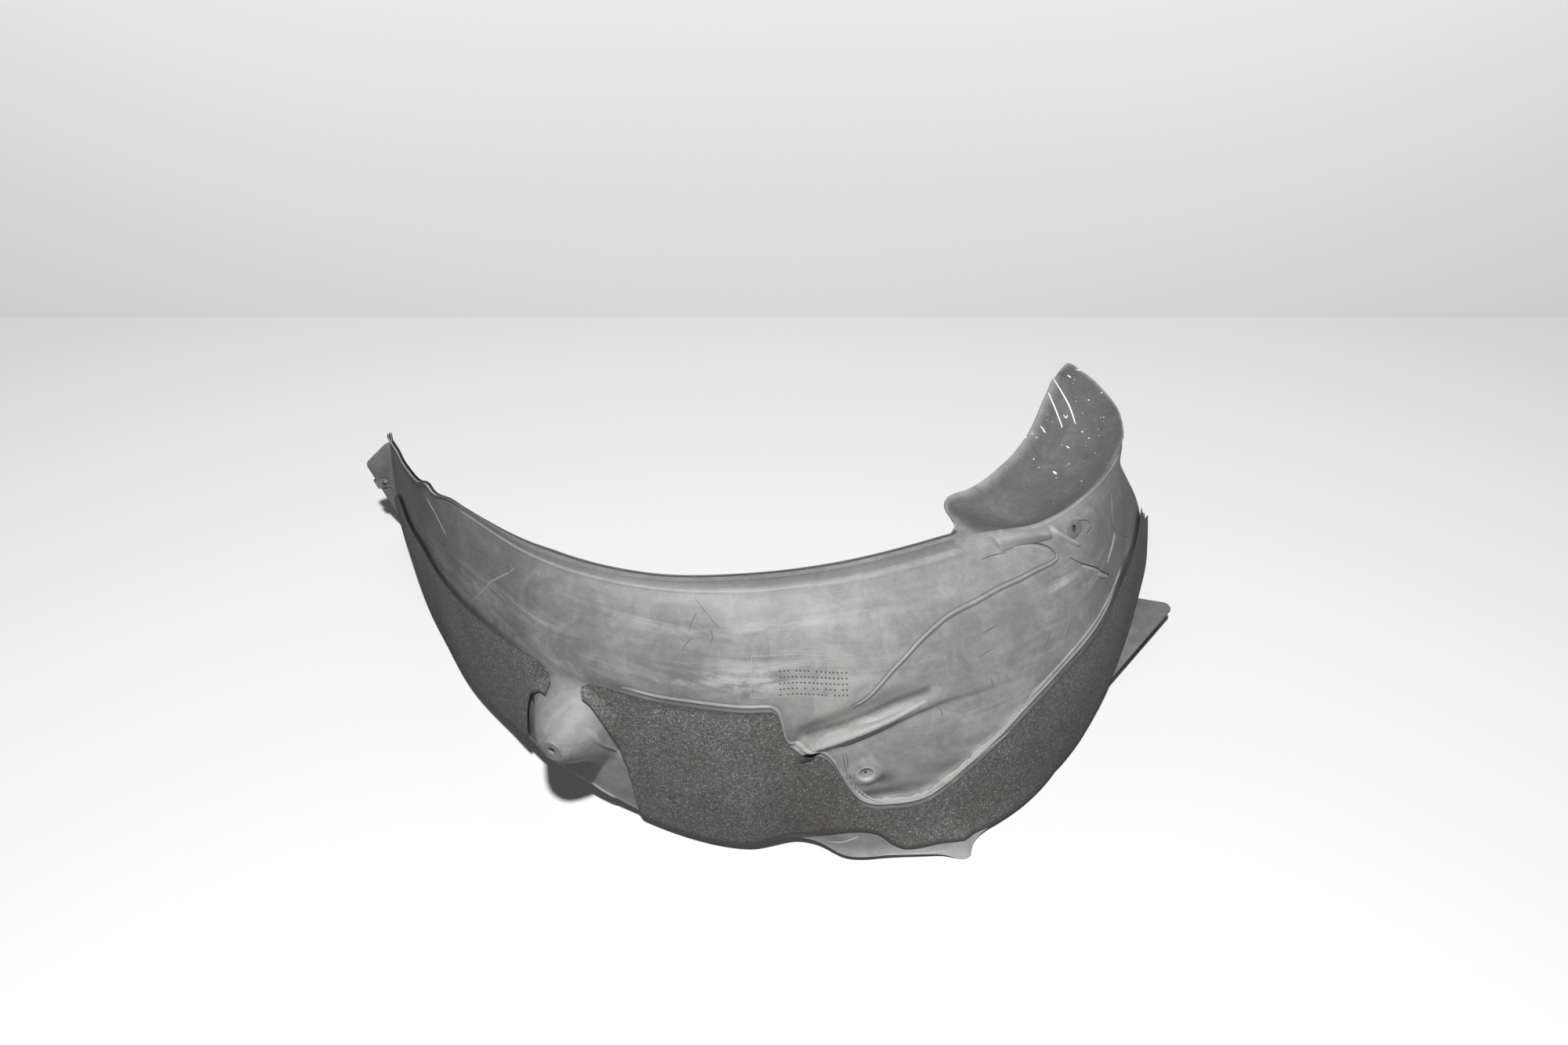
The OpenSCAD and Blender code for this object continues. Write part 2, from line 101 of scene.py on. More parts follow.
class Finish:
    """A material with its Principled shader, and the method that adds nodes to it."""

    def __init__(self, name, **constants):
        self.material = bpy.data.materials.new(name)
        self.material.use_nodes = True
        self.tree = self.material.node_tree
        self.shader = self.tree.nodes["Principled BSDF"]
        for socket, value in constants.items():
            self.shader.inputs[socket.replace("_", " ")].default_value = value

    def node(self, kind, settings=None, inputs=None, output=0):
        made = self.tree.nodes.new(kind)
        for key, value in (settings or {}).items():
            if key == "stops":
                ramp = made.color_ramp
                while len(ramp.elements) < len(value):
                    ramp.elements.new(0.5)
                for element, (place, colour) in zip(ramp.elements, value):
                    element.position, element.color = place, (*colour, 1)
            else:
                setattr(made, key, value)
        for key, value in (inputs or {}).items():
            self.join(value, made.inputs[key])
        return Value(self, made.outputs[output])

    def join(self, value, socket):
        if isinstance(value, Value):
            self.tree.links.new(value.socket, socket)
        else:
            socket.default_value = value

    def set(self, **inputs):
        for socket, value in inputs.items():
            self.join(value, self.shader.inputs[socket.replace("_", " ")])

    def objectspace(self):
        return self.node("ShaderNodeTexCoord", output="Object")

    def attribute(self, name):
        return self.node("ShaderNodeAttribute", {"attribute_name": name}, output="Fac")

    def stretched(self, vector, scale):
        return self.node("ShaderNodeVectorMath", {"operation": "MULTIPLY"}, {0: vector, 1: scale})

    def noise(self, vector, scale, detail=2.0, roughness=0.5, distortion=0.0):
        return self.node("ShaderNodeTexNoise", {}, {
            "Vector": vector, "Scale": scale, "Detail": detail, "Roughness": roughness, "Distortion": distortion})

    def cells(self, vector, scale):
        return self.node("ShaderNodeTexVoronoi", {"feature": "F1"}, {"Vector": vector, "Scale": scale})

    def ramp(self, value, stops):
        return self.node("ShaderNodeValToRGB", {"stops": stops}, {"Fac": value})

    def mix(self, share, first, second, blend="MIX"):
        mixed = self.tree.nodes.new("ShaderNodeMix")
        mixed.data_type, mixed.blend_type = "RGBA", blend
        for key, value in ((0, share), (6, first), (7, second)):
            self.join(value, mixed.inputs[key])
        return Value(self, mixed.outputs[2])

    def bump(self, height, distance, strength=1.0, under=None):
        inputs = {"Height": height, "Distance": distance, "Strength": strength}
        if under is not None:
            inputs["Normal"] = under
        return self.node("ShaderNodeBump", {}, inputs)


print("shader helpers ready")

# %% [markdown]
# ## Floor, backdrop and light
# A plain white floor meets a plain white wall behind the object. The wall lets light and view through from behind,
# so that the object can be looked at from every side. The light is one small lamp high above the camera, with a dim
# world round it: the raised edge then stands over a dark gap, as a flash leaves it.

# %% Floor and backdrop
WALL_Y = 0.688


def plane(name, centre, size, tilt=0):
    """A rectangle of size (x, y) about its centre, tilted up about X by a number of degrees."""
    bm = bmesh.new()
    place = Matrix.Translation(centre) @ Matrix.Rotation(math.radians(tilt), 4, "X") @ Matrix.Diagonal((*size, 1, 1))
    bmesh.ops.create_grid(bm, x_segments=1, y_segments=1, size=0.5, matrix=place)
    mesh = bpy.data.meshes.new(name)
    bm.to_mesh(mesh)
    bm.free()
    made = bpy.data.objects.new(name, mesh)
    bpy.context.scene.collection.objects.link(made)
    return made


def backdrop_finish(name, colour, seen, see_through_back):
    """Plain paint. Seen by the camera it is lifted to the tone of the real room, and keeps its shadows."""
    paint = Finish(name, Roughness=0.9, Specular_IOR_Level=0.05)
    rays = paint.tree.nodes.new("ShaderNodeLightPath")
    camera_ray = Value(paint, rays.outputs["Is Camera Ray"])
    paint.set(Base_Color=paint.mix(camera_ray, (*colour, 1), (*seen, 1)))
    if see_through_back:
        back = Value(paint, paint.tree.nodes.new("ShaderNodeNewGeometry").outputs["Backfacing"])
        clear = paint.tree.nodes.new("ShaderNodeBsdfTransparent")
        either = paint.tree.nodes.new("ShaderNodeMixShader")
        paint.join(back, either.inputs[0])
        paint.tree.links.new(paint.shader.outputs[0], either.inputs[1])
        paint.tree.links.new(clear.outputs[0], either.inputs[2])
        paint.tree.links.new(either.outputs[0], paint.tree.nodes["Material Output"].inputs[0])
    return paint.material


floor = plane("floor", (0, 0.5, 0), (12, 11))
floor.data.materials.append(backdrop_finish("white_floor", (0.3, 0.3, 0.303), (0.84, 0.84, 0.85), False))
wall = plane("wall", (0, WALL_Y, 2), (12, 4), tilt=90)
wall.data.materials.append(backdrop_finish("white_wall", (0.18, 0.18, 0.182), (1.0, 1.0, 1.0), True))
print("stage", floor.name, wall.name)

# %% [markdown]
# ## Light
# The liner looks lit by a small lamp above the camera, which leaves bright faces and dark, fairly sharp gaps. An area
# lamp in the shape of a disk does the same, and its size sets how soft the shadows are. The world fills in only a
# little, so the inside, seen from behind, stays dark.

# %% Light
world = bpy.data.worlds.new("studio")
bpy.context.scene.world = world
world.use_nodes = True
world.node_tree.nodes["Background"].inputs["Color"].default_value = (0.97, 0.98, 1.0, 1)
world.node_tree.nodes["Background"].inputs["Strength"].default_value = 0.035


def lamp(name, place, aim, size, watts):
    data = bpy.data.lights.new(name, "AREA")
    data.shape, data.size, data.energy = "DISK", size, watts
    made = bpy.data.objects.new(name, data)
    made.location = place
    made.rotation_euler = (Vector(aim) - Vector(place)).to_track_quat("-Z", "Y").to_euler()
    bpy.context.scene.collection.objects.link(made)
    return made


lamp("soft_flash", (0.0, -1.55, 3.3), (0.0, 0.1, 0.1), 0.2, 152)

# %% [markdown]
# ## The shape of the moulding
# The liner wraps round the wheel, so its surface is easiest to say in wheel coordinates: an angle round the axle
# (0 at the crown, growing towards +X), a radius and a height. The rules are those of the CAD source, in millimetres.
# The tables are too, apart from three. EDGE_LIFT raises the bottom edge up to 4 mm more, for the dark gap under it.
# LONG_FELT_TOP and LONG_FELT_LOW follow the felt's left edge more closely and run on from 94 to 98.4 degrees.

# %% Curves through tables
MM = 0.001
WHEEL_AXIS = np.array((13.228, 187.746, 0.00275105))


def curve(table, x):
    """Smooth curve through the rows of a table of (place, value)."""
    xs, ys = np.array(table, float).T
    slopes = np.empty_like(ys)
    slopes[1:-1] = (ys[2:] - ys[:-2]) / (xs[2:] - xs[:-2])
    slopes[0], slopes[-1] = (ys[1] - ys[0]) / (xs[1] - xs[0]), (ys[-1] - ys[-2]) / (xs[-1] - xs[-2])
    x = np.clip(x, xs[0], xs[-1])
    i = np.clip(np.searchsorted(xs, x, side="right") - 1, 0, len(xs) - 2)
    width = xs[i + 1] - xs[i]
    u = (x - xs[i]) / width
    ends = ys[i] * (1 + 2 * u) * (1 - u) ** 2 + ys[i + 1] * u * u * (3 - 2 * u)
    return ends + width * (slopes[i] * u * (1 - u) ** 2 - slopes[i + 1] * u * u * (1 - u))


def blend(u):
    c = np.clip(u, 0, 1)
    return c * c * (3 - 2 * c)


# %% [markdown]
# ## Sizes and tables
# Forms that no simple rule gives, such as the wavy bottom edge, are tables of (angle, value). They are drawn as
# smooth curves, so that a form can be corrected at one angle without touching the rest.

# %% Sizes and tables of the moulding
ARCH_R, LINER_W, WALL_T = 420.0, 267.0, 2.4
SHORT_END, LONG_END, TRIM_FROM = -95.0, 99.0, 58.0
TREAD_BOW, FOOT_FLARE, FLARE_H = 12.0, 42.0, 26.0
RIM_W, LOBE_W, LOBE_START, LOBE_DISH = 11.0, 94.0, 32.0, 22.0
BOSS_ANGLE, BOSS_Z, BOSS_H, BOSS_FOOT_R, BOSS_TIP_R = -26.0, 124.0, 46.0, 50.0, 11.0
CHANNEL_ANGLE, CHANNEL_SPAN, CHANNEL_Z, CHANNEL_RISE = 3.0, 20.0, 137.0, 45.0
CHANNEL_DEPTH, CHANNEL_UP_W, CHANNEL_LOW_W, RIB_H, RIB_HALF_W = 10.0, 24.0, 9.0, 5.0, 8.0
PANEL_DEPTH, RING_H, RING_R = 3.5, 3.0, 10.0
BOSS_SQUASH = (1.1, 0.9), (1.15, 0.85)  # right and left, above and below
BOSS_STRAIGHT = 0.55
CHANNEL_BEND, CHANNEL_RUN_IN, CHANNEL_RUN_OUT = 1.6, 0.09, 0.7
PANEL_MARGIN, PANEL_FADE, PANEL_FELT_FADE = 4, 8, 7
RING_ON, RING_BELOW, RING_BAND = 8.5, 32, 7
EDGE_OFFSET = [(-95, 10), (-85, -15), (-75, -30), (-65, -38), (-52, -34), (-42, -28), (-32, -13), (-18, -8), (-3, 8),
               (3, 2), (10, 12), (20, 16.5), (36, 16), (50, 0), (62, -11), (72, -12), (82, -4), (99, 20)]
FLARE_SHARE = [(3, 0), (6, 0.12), (9, 0.5), (15, 0.6), (20, 0.78), (23.2, 0.88), (24.4, 0.66), (27, 0.54),
               (31, 0.38), (40, 0)]
EDGE_LIFT = [(-90, 0), (-80, 5), (-70, 10), (-62, 15), (-50, 27), (-36, 40), (-26, 30), (-16, 14), (-8, 11),
             (-3, 13), (2, 14), (5.5, 12), (9, 9), (15, 8), (20, 5), (23.2, 0), (26, 6), (34, 11),
             (50, 12), (62, 10), (75, 6), (90, 0)]
FOLD_INSET = [(-95, -10), (-90, 2), (-84, 19), (-74, 31), (-62, 38), (-50, 48), (-36, 53), (-18, 66), (-4, 82),
              (10, 92), (24, 95), (34, 88), (44, 62), (56, 52), (66, 51), (99, 50)]
FOLD_DROP = [(-95, 119), (-90, 98), (-84, 84), (-73, 49), (-65, 27), (-61, 12), (-59, 15), (-54, 3), (-46, 0)]
BOW_SHARE = [(45, 1), (66, 0.3), (80, -0.6), (99, -1.2)]
SHOULDER_SHARE = [(48, 0.75), (66, 0.32), (80, 0.08), (99, 0.05)]
RIM_SHARE = [(-54, 0.05), (-44, 0.5), (-34, 1)]
LOBE_SHARE = [(-0.8, 0), (1.4, 0.16), (2.6, 0.42), (4.2, 0.6), (6.8, 0.77), (10.5, 0.9), (16, 0.97), (24, 1.01),
              (35, 0.98), (46, 0.93), (57, 0.79), (67, 0.78)]
LONG_END_TRIM = [(0, 0), (0.15, 8), (0.3, 18.5), (0.43, 23.3), (0.59, 28.6), (0.72, 31.8), (0.84, 33.5), (0.9, 33.4),
                 (0.95, 31.2), (1, 30.1), (1.05, 26), (1.15, 19.5), (1.4, 12), (1.6, 8.2), (1.75, 6), (1.9, 9),
                 (2, 13)]
LONG_FELT_TOP = [(-25, 165), (-24.6, 169), (-23.6, 171.5), (-21.5, 172.5), (-15.5, 172), (-9.9, 175.5),
                 (-4.5, 177), (-0.3, 176.5),
                 (0.9, 169), (1.4, 152), (2.1, 136), (3.9, 131), (6.2, 128), (7.3, 121), (8.3, 107), (9.6, 86),
                 (10.8, 73), (12.1, 66.5), (14.2, 63.5), (16.2, 62), (18.3, 62.5), (19.9, 66), (23.3, 81), (26.8, 98),
                 (29.2, 108.5), (33.3, 127), (39.6, 144), (45.5, 149.5), (51.2, 151.5), (54.2, 155), (58.5, 156),
                 (65, 152), (72.6, 150), (85.4, 150), (98.4, 150)]
LONG_FELT_LOW = [(-25, 162), (-24.6, 158.5), (-24.2, 157), (-23.4, 154), (-22.4, 147), (-21.6, 139),
                 (-20.9, 128), (-20.4, 117), (-19.6, 100), (-18.8, 84), (-18.3, 61), (-17.8, 26), (-16.7, 14),
                 (-11.5, 12), (-7, 13), (-3.6, 15.5), (-0.7, 20.5), (5.3, 30), (9.4, 41.5), (12.8, 37), (14.4, 24),
                 (15.6, 17), (17, 15), (20.8, 16), (24.6, 12.5), (29, 11), (46, 12), (52, 28), (79, 28), (88, 12),
                 (98.4, 12)]
SHORT_FELT_TOP = [(-93, 60), (-88, 100), (-84, 121), (-79.6, 130), (-75, 134), (-67.3, 145), (-60.5, 150),
                  (-52.2, 157), (-45, 161), (-38.5, 169), (-33, 175), (-31.3, 173), (-30, 165), (-29.2, 156)]
SHORT_FELT_LOW = [(-93, 8), (-84, 8), (-74, 12), (-62, 18), (-50, 31), (-38, 44), (-36, 55), (-35, 90), (-34.4, 110),
                  (-33.5, 126), (-31, 146), (-29.2, 151)]


# %% [markdown]
# ## The section
# Cut at one angle, the sheet is a bowed tread wall, a fold and a dished side wall. A Bezier curve with four points
# gives the bow and the rounded shoulder with few numbers. A subdivided cage could do it too, but is harder to steer.

# %% Section of the sheet at one angle
def side_width(a):
    lobe = RIM_W + (LOBE_W - RIM_W) * curve(LOBE_SHARE, a - LOBE_START)
    return np.where(a < LOBE_START - 1, RIM_W * curve(RIM_SHARE, a), lobe)


FOOT_PULL, SHOULDER_PULL = 0.48, 0.08
LOBE_RUN_IN, DISH_LOSS, DISH_LOSS_FROM, DISH_LOSS_SPAN, SIDE_FALL = 14, 0.6, 68, 24, 2


def tread_point(a, v):
    """Radius and height of the tread wall: a Bezier from the outboard foot to the fold."""
    foot_r, foot_z = ARCH_R + curve(EDGE_OFFSET, a), curve(EDGE_LIFT, a)
    fold_r, fold_z = ARCH_R - curve(FOLD_INSET, a), LINER_W - curve(FOLD_DROP, a)
    h = fold_z - foot_z
    weights = (1 - v) ** 3, 3 * v * (1 - v) ** 2, 3 * v * v * (1 - v), v ** 3
    radii = (foot_r, foot_r + TREAD_BOW * curve(BOW_SHARE, a),
             fold_r + curve(SHOULDER_SHARE, a) * (foot_r - fold_r), fold_r)
    heights = (foot_z, foot_z + FOOT_PULL * h, fold_z - SHOULDER_PULL * h, fold_z)
    return sum(w * r for w, r in zip(weights, radii)), sum(w * z for w, z in zip(weights, heights))


def side_point(a, s):
    fading = 1 - DISH_LOSS * blend((a - DISH_LOSS_FROM) / DISH_LOSS_SPAN)
    dish = LOBE_DISH * blend((a - LOBE_START) / LOBE_RUN_IN) * fading
    r = ARCH_R - curve(FOLD_INSET, a) - side_width(a) * s
    z = LINER_W - curve(FOLD_DROP, a) - SIDE_FALL * s - 0.5 * dish * s - dish * np.sin(np.pi * s)
    return r, z


# %% [markdown]
# ## Pressed forms
# The boss, channel, panel and ring were pressed into the same sheet, so each is a rule that says how far the face
# moves outwards at a place. Added up, they blend without seams, which separate meshes joined by booleans would not.

# %% Forms pressed into the tread wall
def boss_move(a, z):
    """A cone with a flat tip, wider to the left and downwards; its flanks keep an edge at the tip and the foot."""
    x, y = np.radians(a - BOSS_ANGLE) * ARCH_R, z - BOSS_Z
    d = np.hypot(x * np.where(x > 0, *BOSS_SQUASH[0]), y * np.where(y > 0, *BOSS_SQUASH[1]))
    t = np.clip((d - BOSS_TIP_R) / (BOSS_FOOT_R - BOSS_TIP_R), 0, 1)
    return BOSS_H * (1 - BOSS_STRAIGHT * t - (1 - BOSS_STRAIGHT) * blend(t))


def channel_line(a):
    u = np.clip((a - CHANNEL_ANGLE) / CHANNEL_SPAN, -0.2, 1)
    return CHANNEL_Z + CHANNEL_RISE * (1 - np.maximum(1 - u, 0) ** CHANNEL_BEND)


def channel_move(a, z):
    """A pressed channel, deepest at its lower end, with a gentle upper and a steep lower side."""
    u = (a - CHANNEL_ANGLE) / CHANNEL_SPAN
    off = z - channel_line(a)
    side = np.where(off > 0, off / CHANNEL_UP_W, -off / CHANNEL_LOW_W)
    fade = blend((u + CHANNEL_RUN_IN) / (2 * CHANNEL_RUN_IN)) * np.clip(1 - u, 0, 1) ** CHANNEL_RUN_OUT
    crest = np.clip(np.abs(off + CHANNEL_LOW_W) / RIB_HALF_W, 0, 1)
    return fade * (RIB_H * np.cos(np.pi / 2 * crest) ** 2 - CHANNEL_DEPTH * (1 - blend(side)))


def panel_move(a, z):
    u = (a - CHANNEL_ANGLE - PANEL_MARGIN) / CHANNEL_SPAN
    top = channel_line(a) - CHANNEL_LOW_W - PANEL_MARGIN
    return (-PANEL_DEPTH * blend(u / 0.15) * blend((1.5 - u) / 0.8) * blend((top - z) / PANEL_FADE)
            * blend((z - curve(LONG_FELT_TOP, a) - PANEL_MARGIN) / PANEL_FELT_FADE))


def ring_move(a, z):
    x = np.radians(a - CHANNEL_ANGLE - RING_ON) * ARCH_R
    d = np.hypot(x, z - CHANNEL_Z + RING_BELOW)
    return RING_H * np.maximum(0, 1 - ((d - RING_R) / RING_BAND) ** 2) ** 2


def flare_move(a, z):
    return FOOT_FLARE * curve(FLARE_SHARE, a) * np.exp(-z / FLARE_H)


def tread_move(a, z):
    return boss_move(a, z) + channel_move(a, z) + panel_move(a, z) + ring_move(a, z) + flare_move(a, z)


# %% [markdown]
# ## From rules to points
# One function turns a place on the sheet into a point. Everything that lies on the sheet, such as felt, beads and
# paint, calls it too, and so it follows every form by itself.

# %% From a place on the sheet to a point in the frame
def warp(a, v):
    drawn_in = TRIM_FROM + (a - TRIM_FROM) * (LONG_END - curve(LONG_END_TRIM, v) - TRIM_FROM) / (LONG_END - TRIM_FROM)
    return np.where(a <= TRIM_FROM, a, drawn_in)


def skin(a, v):
    """Point of the outer face in millimetres about the wheel axis; v is 0 to 1 up the tread and to 2 over the side."""
    tread_r, tread_z = tread_point(a, np.clip(v, 0, 1))
    side_r, side_z = side_point(a, np.clip(v - 1, 0, 1))
    r = np.where(v <= 1, tread_r + tread_move(a, tread_z) * blend((1 - v) / 0.12), side_r)
    z = np.where(v <= 1, tread_z, side_z)
    turn = np.radians(a)
    return np.stack([r * np.sin(turn), -r * np.cos(turn), z], -1)


def skin_normal(a, v):
    du = skin(a + 0.2, v) - skin(a - 0.2, v)
    dv = skin(a, np.minimum(v + 0.008, 2)) - skin(a, np.maximum(v - 0.008, 0))
    n = np.cross(du, dv)
    return n / np.linalg.norm(n, axis=-1, keepdims=True)


def face(a, v):
    """The same for the sheet's own grid, whose columns are drawn in towards the outline of the long end."""
    return skin(warp(a, v), v)


def face_normal(a, v):
    du = face(np.minimum(a + 0.3, LONG_END), v) - face(np.maximum(a - 0.3, SHORT_END), v)
    dv = face(a, np.minimum(v + 0.01, 2)) - face(a, np.maximum(v - 0.01, 0))
    n = np.cross(du, dv)
    return n / np.linalg.norm(n, axis=-1, keepdims=True)


def in_frame(points):
    return (np.asarray(points) + WHEEL_AXIS) * MM


def row_at(a, z):
    """Row at which the tread wall reaches a height, found by halving."""
    low, high = np.zeros_like(a), np.ones_like(a)
    for _ in range(18):
        middle = (low + high) / 2
        below = tread_point(a, middle)[1] < z
        low, high = np.where(below, middle, low), np.where(below, high, middle)
    return low


print("the crown's outer face is at", in_frame(face(np.array([0.0]), np.array([0.5])))[0])

# %% [markdown]
# ## Mesh helpers
# Each skin starts as a flat grid, made by an operator. Its points are then moved to their places on the moulding,
# and the solidify operator gives it the wall. Finer steps are used where the forms are small.

# %% Grids
def steps(*parts):
    """Places from one value to the next, with a step for each stretch: steps(from, (to, step), (to, step))."""
    places = [parts[0]]
    for to, size in parts[1:]:
        count = max(1, round((to - places[-1]) / size))
        places += list(np.linspace(places[-1], to, count + 1)[1:])
    return np.array(places)


def mapped_grid(columns, rows, place):
    """A grid whose vertices are moved to place(column, row); the two values stay on it as a UV map in metres."""
    bm = bmesh.new()
    bmesh.ops.create_grid(bm, x_segments=len(columns) - 1, y_segments=len(rows) - 1, size=0.5)
    flat = np.array([vert.co for vert in bm.verts])
    a = np.interp(flat[:, 0] + 0.5, np.linspace(0, 1, len(columns)), columns)
    v = np.interp(flat[:, 1] + 0.5, np.linspace(0, 1, len(rows)), rows)
    for vert, point in zip(bm.verts, place(a, v)):
        vert.co = point
    return bm, a, v


def finished_piece(name, bm, material, sharp=40, slot=None):
    """Turns the bmesh into a smooth object that rides on the root body."""
    mesh = bpy.data.meshes.new(name)
    bm.normal_update()
    bm.to_mesh(mesh)
    bm.free()
    mesh.polygons.foreach_set("use_smooth", [True] * len(mesh.polygons))
    mesh.set_sharp_from_angle(angle=math.radians(sharp))
    mesh.materials.append(material)
    piece = bpy.data.objects.new(name, mesh)
    bpy.context.scene.collection.objects.link(piece)
    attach(piece, "root")
    print(name, len(mesh.polygons), "faces")
    return piece


# %% [markdown]
# ## Finishes
# The moulding is black polypropylene that years of road dirt and sun have faded to a chalky grey. It is darker where
# it was shaded, paler and smeared where it was rubbed, and whitish on every worn lip. Some shade and highlights are
# also painted into the plastic's colour. The felt is charcoal with pale fibres, and the speed nut is rusty steel.

# %% [markdown]
# ## Faded plastic
# Noise at several scales gives clouds, blotches, dust and grain. Values stored on the vertices say where the sheet
# is rubbed, worn, soiled, darker or paler, so that wear sits where it really is and not just anywhere. Some of these
# values are painted light: painted shade along the rib, at the crown's rim and at the short end, and painted
# highlights on the rib's crest and on bead crests.

# %% Faded plastic
def faded_plastic(name):
    plastic = Finish(name, Specular_IOR_Level=0.45)
    spot = plastic.objectspace()
    along = plastic.node("ShaderNodeUVMap", {"uv_map": "sheet"})
    cloud = plastic.noise(spot, 6.0, 4.0, 0.55, 0.5)
    smear = plastic.noise(plastic.stretched(along, (7.0, 55.0, 1.0)), 1.0, 6.0, 0.7, 1.2)
    blotch = plastic.noise(spot, 30.0, 6.0, 0.62, 0.9)
    dust = plastic.noise(spot, 160.0, 4.0, 0.7)
    grain = plastic.noise(spot, 1100.0, 2.0)
    rubbed, worn, soiled, tone = (plastic.attribute(name) for name in ("rubbed", "worn", "soiled", "tone"))
    chalk = (cloud * 0.42 + blotch * 0.36 + smear * 0.22 + dust * 0.16 - 0.08).step(0.36, 0.72)
    body = plastic.ramp(chalk, [(0.0, (0.16, 0.162, 0.168)), (0.5, (0.25, 0.249, 0.247)), (1.0, (0.35, 0.346, 0.338))])
    body = plastic.mix(1.0, body, tone, "MULTIPLY")
    pale = rubbed * (smear * 0.7 + blotch * 0.35).step(0.44, 0.62)
    body = plastic.mix(pale * 0.8, body, (0.5, 0.496, 0.487, 1))
    # Pale where worn, and on the painted highlights along the rib's crest, the crown bead and the bead crests.
    wear_and_highlight = worn * (blotch * 0.6 + dust * 0.3 + 0.25).step(0.4, 0.75)
    body = plastic.mix(wear_and_highlight, body, (0.46, 0.455, 0.445, 1))
    speck = (dust * 0.7 + grain * 0.3).step(0.6, 0.72)
    body = plastic.mix(speck * 0.3, body, (0.5, 0.49, 0.47, 1))
    body = plastic.mix(0.1, body, plastic.ramp(grain, [(0.3, (0.08, 0.08, 0.08)), (0.7, (0.4, 0.4, 0.4))]))
    # Darker where dirty, and where shade is painted along the rib, the crown's rim and the bead rims.
    dirt = soiled * (dust * 0.5 + blotch * 0.5 + 0.2).step(0.42, 0.72)
    body = plastic.mix(dirt, body, (0.05, 0.045, 0.038, 1))
    plastic.set(Base_Color=body, Roughness=blotch * 0.2 + 0.4 + grain * 0.06)
    fine = plastic.bump(grain, 0.0002, 0.35)
    plastic.set(Normal=plastic.bump(blotch + cloud, 0.0016, 0.3, fine))
    return plastic.material


# %% [markdown]
# ## Needle felt
# Needled felt is a mat of dark and pale fibres. Modelling fibres would take millions of faces, so fine distorted
# noise makes their colours and a strong bump, small cells make the flecks, and the rims are darker.

# %% Needle felt
def needle_felt(name):
    felt = Finish(name, Specular_IOR_Level=0.15, Sheen_Weight=0.15, Sheen_Roughness=0.6, Sheen_Tint=(0.9, 0.9, 0.9, 1))
    spot = felt.objectspace()
    fibre = felt.noise(spot, 430.0, 4.0, 0.8, 1.6)
    fluff = felt.noise(spot, 190.0, 4.0, 0.7, 1.5)
    soil = felt.noise(spot, 11.0, 4.0, 0.6)
    shaken = felt.node("ShaderNodeTexNoise", {}, {"Vector": spot, "Scale": 300.0}, 1)
    flecks = felt.cells(felt.mix(0.004, spot, shaken), 300.0)
    edge = felt.attribute("worn")
    base = felt.ramp(fibre, [(0.36, (0.045, 0.045, 0.046)), (0.52, (0.165, 0.162, 0.158)),
                             (0.68, (0.48, 0.476, 0.468))])
    base = felt.mix(soil.step(0.42, 0.66) * 0.4, base, (0.09, 0.083, 0.072, 1))
    base = felt.mix(flecks.step(0.3, 0.18) * fluff.step(0.4, 0.5) * 0.7, base, (0.45, 0.45, 0.44, 1))
    base = felt.mix(edge * 0.75, base, (0.075, 0.072, 0.066, 1))
    felt.set(Base_Color=base, Roughness=0.95)
    felt.set(Normal=felt.bump(fibre * 0.7 + fluff, 0.0016, 1.0))
    return felt.material


# %% [markdown]
# ## Rusty steel and white paint
# Rust grows in patches: one noise decides both where it is and how rough and unmetallic the steel becomes there.
# The paint has a trace of emission, because the small spots would drown in the dim light of the side wall.

# %% Rusty steel and white paint
def rusty_steel(name):
    steel = Finish(name, Specular_IOR_Level=0.5)
    spot = steel.objectspace()
    patch = steel.noise(spot, 260.0, 5.0, 0.65, 0.5)
    rust = patch.step(0.46, 0.62)
    colour = steel.ramp(steel.noise(spot, 900.0, 3.0), [(0.3, (0.16, 0.07, 0.03)), (0.7, (0.34, 0.2, 0.12))])
    steel.set(Base_Color=steel.mix(rust, (0.56, 0.54, 0.5, 1), colour), Metallic=1 - rust * 0.85,
              Roughness=rust * 0.45 + 0.35, Normal=steel.bump(patch, 0.0004, 0.6))
    return steel.material


def white_paint(name):
    paint = Finish(name, Specular_IOR_Level=0.4)
    dirt = paint.noise(paint.objectspace(), 300.0, 3.0)
    paint.set(Emission_Color=(1, 1, 1, 1), Emission_Strength=0.12)
    paint.set(Base_Color=paint.ramp(dirt, [(0.3, (0.8, 0.8, 0.79)), (0.6, (0.93, 0.93, 0.92))]),
              Roughness=dirt * 0.2 + 0.35)
    return paint.material


PLASTIC, FELT = faded_plastic("faded_plastic"), needle_felt("needle_felt")
RUST, PAINT = rusty_steel("rusty_steel"), white_paint("white_paint")
print("finishes", [m.name for m in bpy.data.materials])

# %% [markdown]
# ## The moulded sheet
# The sheet is one grid from the short end to the long end. Its columns run up the tread wall and on across the side
# wall. They are closest round the boss, the rib and the bracket.

# %% Moulded sheet
# Tone along the arc. The low values at the short end are partly the plastic's own tone and partly painted shade, where
# the wall turns away from the light.
TONE = [(-95, 0.64), (-72, 0.64), (-52, 0.74), (-38, 0.9), (-25, 1.15), (-5, 1.12), (12, 1.28), (28, 1.28),
        (45, 1.2), (60, 1.1), (99, 0.95)]
SIDE_TONE = 0.62
UNROLL = np.array((math.radians(1) * ARCH_R, 1.0))
COLUMNS = steps(SHORT_END, (-40, 1.15), (-12, 0.55), (0, 0.9), (36, 0.5), (60, 0.6), (LONG_END, 1.0))
ROWS = steps(0.0, (0.04, 0.008), (0.8, 0.0085), (0.95, 0.01), (1.0, 0.0125), (1.08, 0.02), (2.0, 0.04))


def put_attribute(mesh, name, values):
    layer = mesh.attributes.new(name, "FLOAT", "POINT")
    layer.data.foreach_set("value", np.asarray(values, np.float32))


